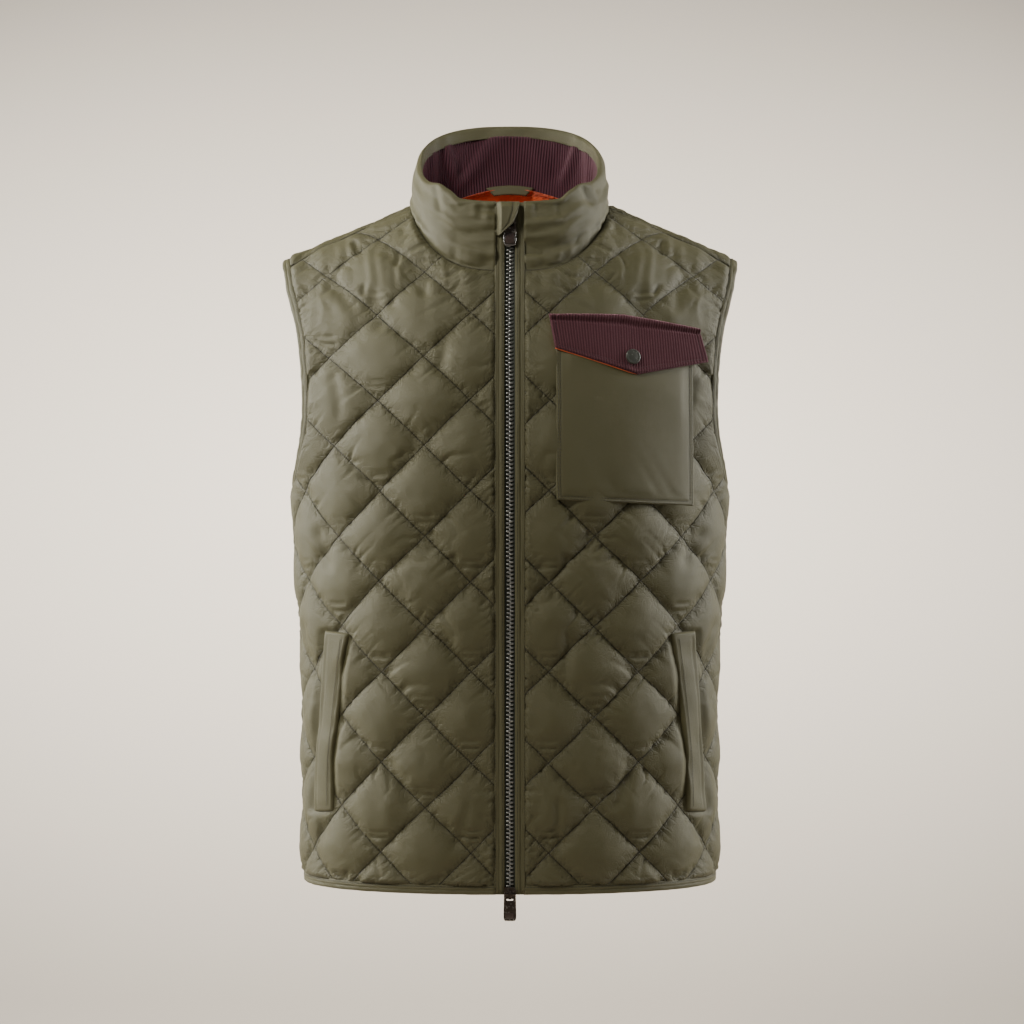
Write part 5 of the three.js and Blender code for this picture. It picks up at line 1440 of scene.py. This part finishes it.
flap.data.materials.append(corduroy_material())
cut_sheet(flap)
u, v = np.meshgrid(np.linspace(0.004, 0.996, 80), np.linspace(0, 0.94, 14))
x, z = flap_place(u, v)
out_of_foot = 1.3 * np.exp(-v * 20) * ease((0.6 - u) * 8) - 0.8
bend, full = flap_sway(u, v)
sway = bend * ease(v * FLAP["tall"] / 10) + full
under = add_laid("flap_lining_cloth", x, z - out_of_foot, FLAP["lift"] - 0.45 + sway, FLAP["lining"] - 0.2 + sway * 0.6,
                 (FLAP["wide"], FLAP["lining_tall"]))
for name in ("quilt", "edge"):
    set_map(under, name, np.full((len(under.data.vertices), 2), 0.5))
under.data.materials.append(TAFFETA)
cut_sheet(under)
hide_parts("flap_lining")
PLUM_THREAD = thread_material("plum_thread", (0.075, 0.028, 0.036), (0.035, 0.013, 0.018))
t_edge = np.concatenate([np.full(30, 0.033), np.linspace(0.033, 0.967, 120), np.full(30, 0.967)])
v_edge = np.concatenate([np.linspace(0.85, 0.11, 30), np.full(120, 0.11), np.linspace(0.11, 0.85, 30)])
stitch_lift = FLAP["lift"] + FLAP["thick"] + sum(flap_sway(t_edge, v_edge))
stitches_on_front("flap_stitches", *flap_place(t_edge, v_edge), stitch_lift, PLUM_THREAD, "corduroy")

# The snap fastener's cap on the flap: pressed metal with a rolled rim, painted dull olive, riveted
# through the flap to the socket behind it.
SNAP = {"x": 114.6, "z": -143.0, "lift": 12.0}


def add_snap():
    """The snap's cap: a low dome with a rolled rim, turned about the flap's normal."""
    profile = np.array([(0.02, 2.35), (2.2, 2.3), (4.4, 2.1), (5.4, 1.85), (5.9, 2.05), (6.7, 2.0), (7.3, 1.5),
                        (7.5, 0.8), (7.3, 0.0), (0.02, 0.0)])
    turn = np.arange(48) * 2 * np.pi / 48
    middle = on_front(SNAP["x"], SNAP["z"], SNAP["lift"])
    up = on_front(SNAP["x"], SNAP["z"], SNAP["lift"] + 1) - middle
    side = np.cross([0, 0, 1.0], up)
    side /= np.linalg.norm(side)
    over = np.cross(up, side)
    ring = side * np.cos(turn)[:, None] + over * np.sin(turn)[:, None]
    points = middle + profile[:, None, :1] * ring[None] + profile[:, None, 1:] * up
    at = np.arange(points.size // 3).reshape(len(profile), 48)
    quads = np.stack([at[:-1], at[1:], np.roll(at[1:], -1, 1), np.roll(at[:-1], -1, 1)], -1).reshape(-1, 4)
    return add_mesh("snap_cap_cover", points, [quads, at[:1], at[-1:, ::-1]])


snap = add_snap()
snap.data.materials.append(metal_material("painted_snap", (0.048, 0.050, 0.040), (0.16, 0.16, 0.14), 0.42, 0.35))
fit(snap, "snap_cap")

# The hand pockets: a slanted welt of the shell's cloth on each front, its free edge turned towards
# the side seam, with a row of stitches along it.

def welt_place(u, v):
    """Across and up the welt between its sewn edge and its free edge."""
    z = WELT_Z[0] + (WELT_Z[-1] - WELT_Z[0]) * v + 5 * u * (v - 0.5)
    inner = np.interp(z, WELT_Z, WELT_INNER)
    return inner + (np.interp(z, WELT_Z, WELT_OUTER) - inner) * u, z


WELT_WIDE, WELT_TALL, WELT_UNDER, WELT_OVER = 26, 176, 1.2, 4.8
for side, mirror, seed in (("left", False, 101), ("right", True, 107)):
    u, v = np.meshgrid(np.unique(np.concatenate([np.linspace(0, 1, 22), [0.015, 0.04, 0.96, 0.985]])),
                       np.unique(np.concatenate([np.linspace(0, 1, 70), [0.003, 0.008, 0.992, 0.997]])))
    edge = np.minimum(np.minimum(u, 1 - u) * WELT_WIDE, np.minimum(v, 1 - v) * WELT_TALL)
    shape = 1.7 * noise(v * 8, u * 1.4, seed) + 0.45 * noise(v * 30, u * 2, seed + 1) * np.exp(-u * 5)
    body = (1.6 + shape - 0.6 * bell(edge, 4.5, 1.0)) * turned_edge(edge, 1.8)
    settle = -2.6 * np.exp(-u * 16) - 1.6 * np.exp(-np.minimum(v, 1 - v) * 60)
    sides = (WELT_OVER + body + settle, np.full_like(body, WELT_UNDER))
    points = [on_front(*welt_place(u, v), lift).reshape(-1, 3) for lift in sides]
    welt = add_wall("hand_welt_" + side + "_cloth", *points, [grid_faces(*u.shape[::-1])], mirror)
    welt_map = np.stack([u * WELT_WIDE, v * WELT_TALL], axis=-1).reshape(-1, 2) * MM
    set_map(welt, "cloth", np.tile(welt_map, (2, 1)))
    welt.data.materials.append(TAPE_CLOTH)
    cut_sheet(welt)
    fit(welt, "hand_welt_" + side)
    row = welt_place(np.full(90, 0.2), np.linspace(0.02, 0.98, 90))
    stitches_on_front("welt_stitches_" + side, *row, np.full(90, 7.6), OLIVE_THREAD, "pocket_cloth", mirror)
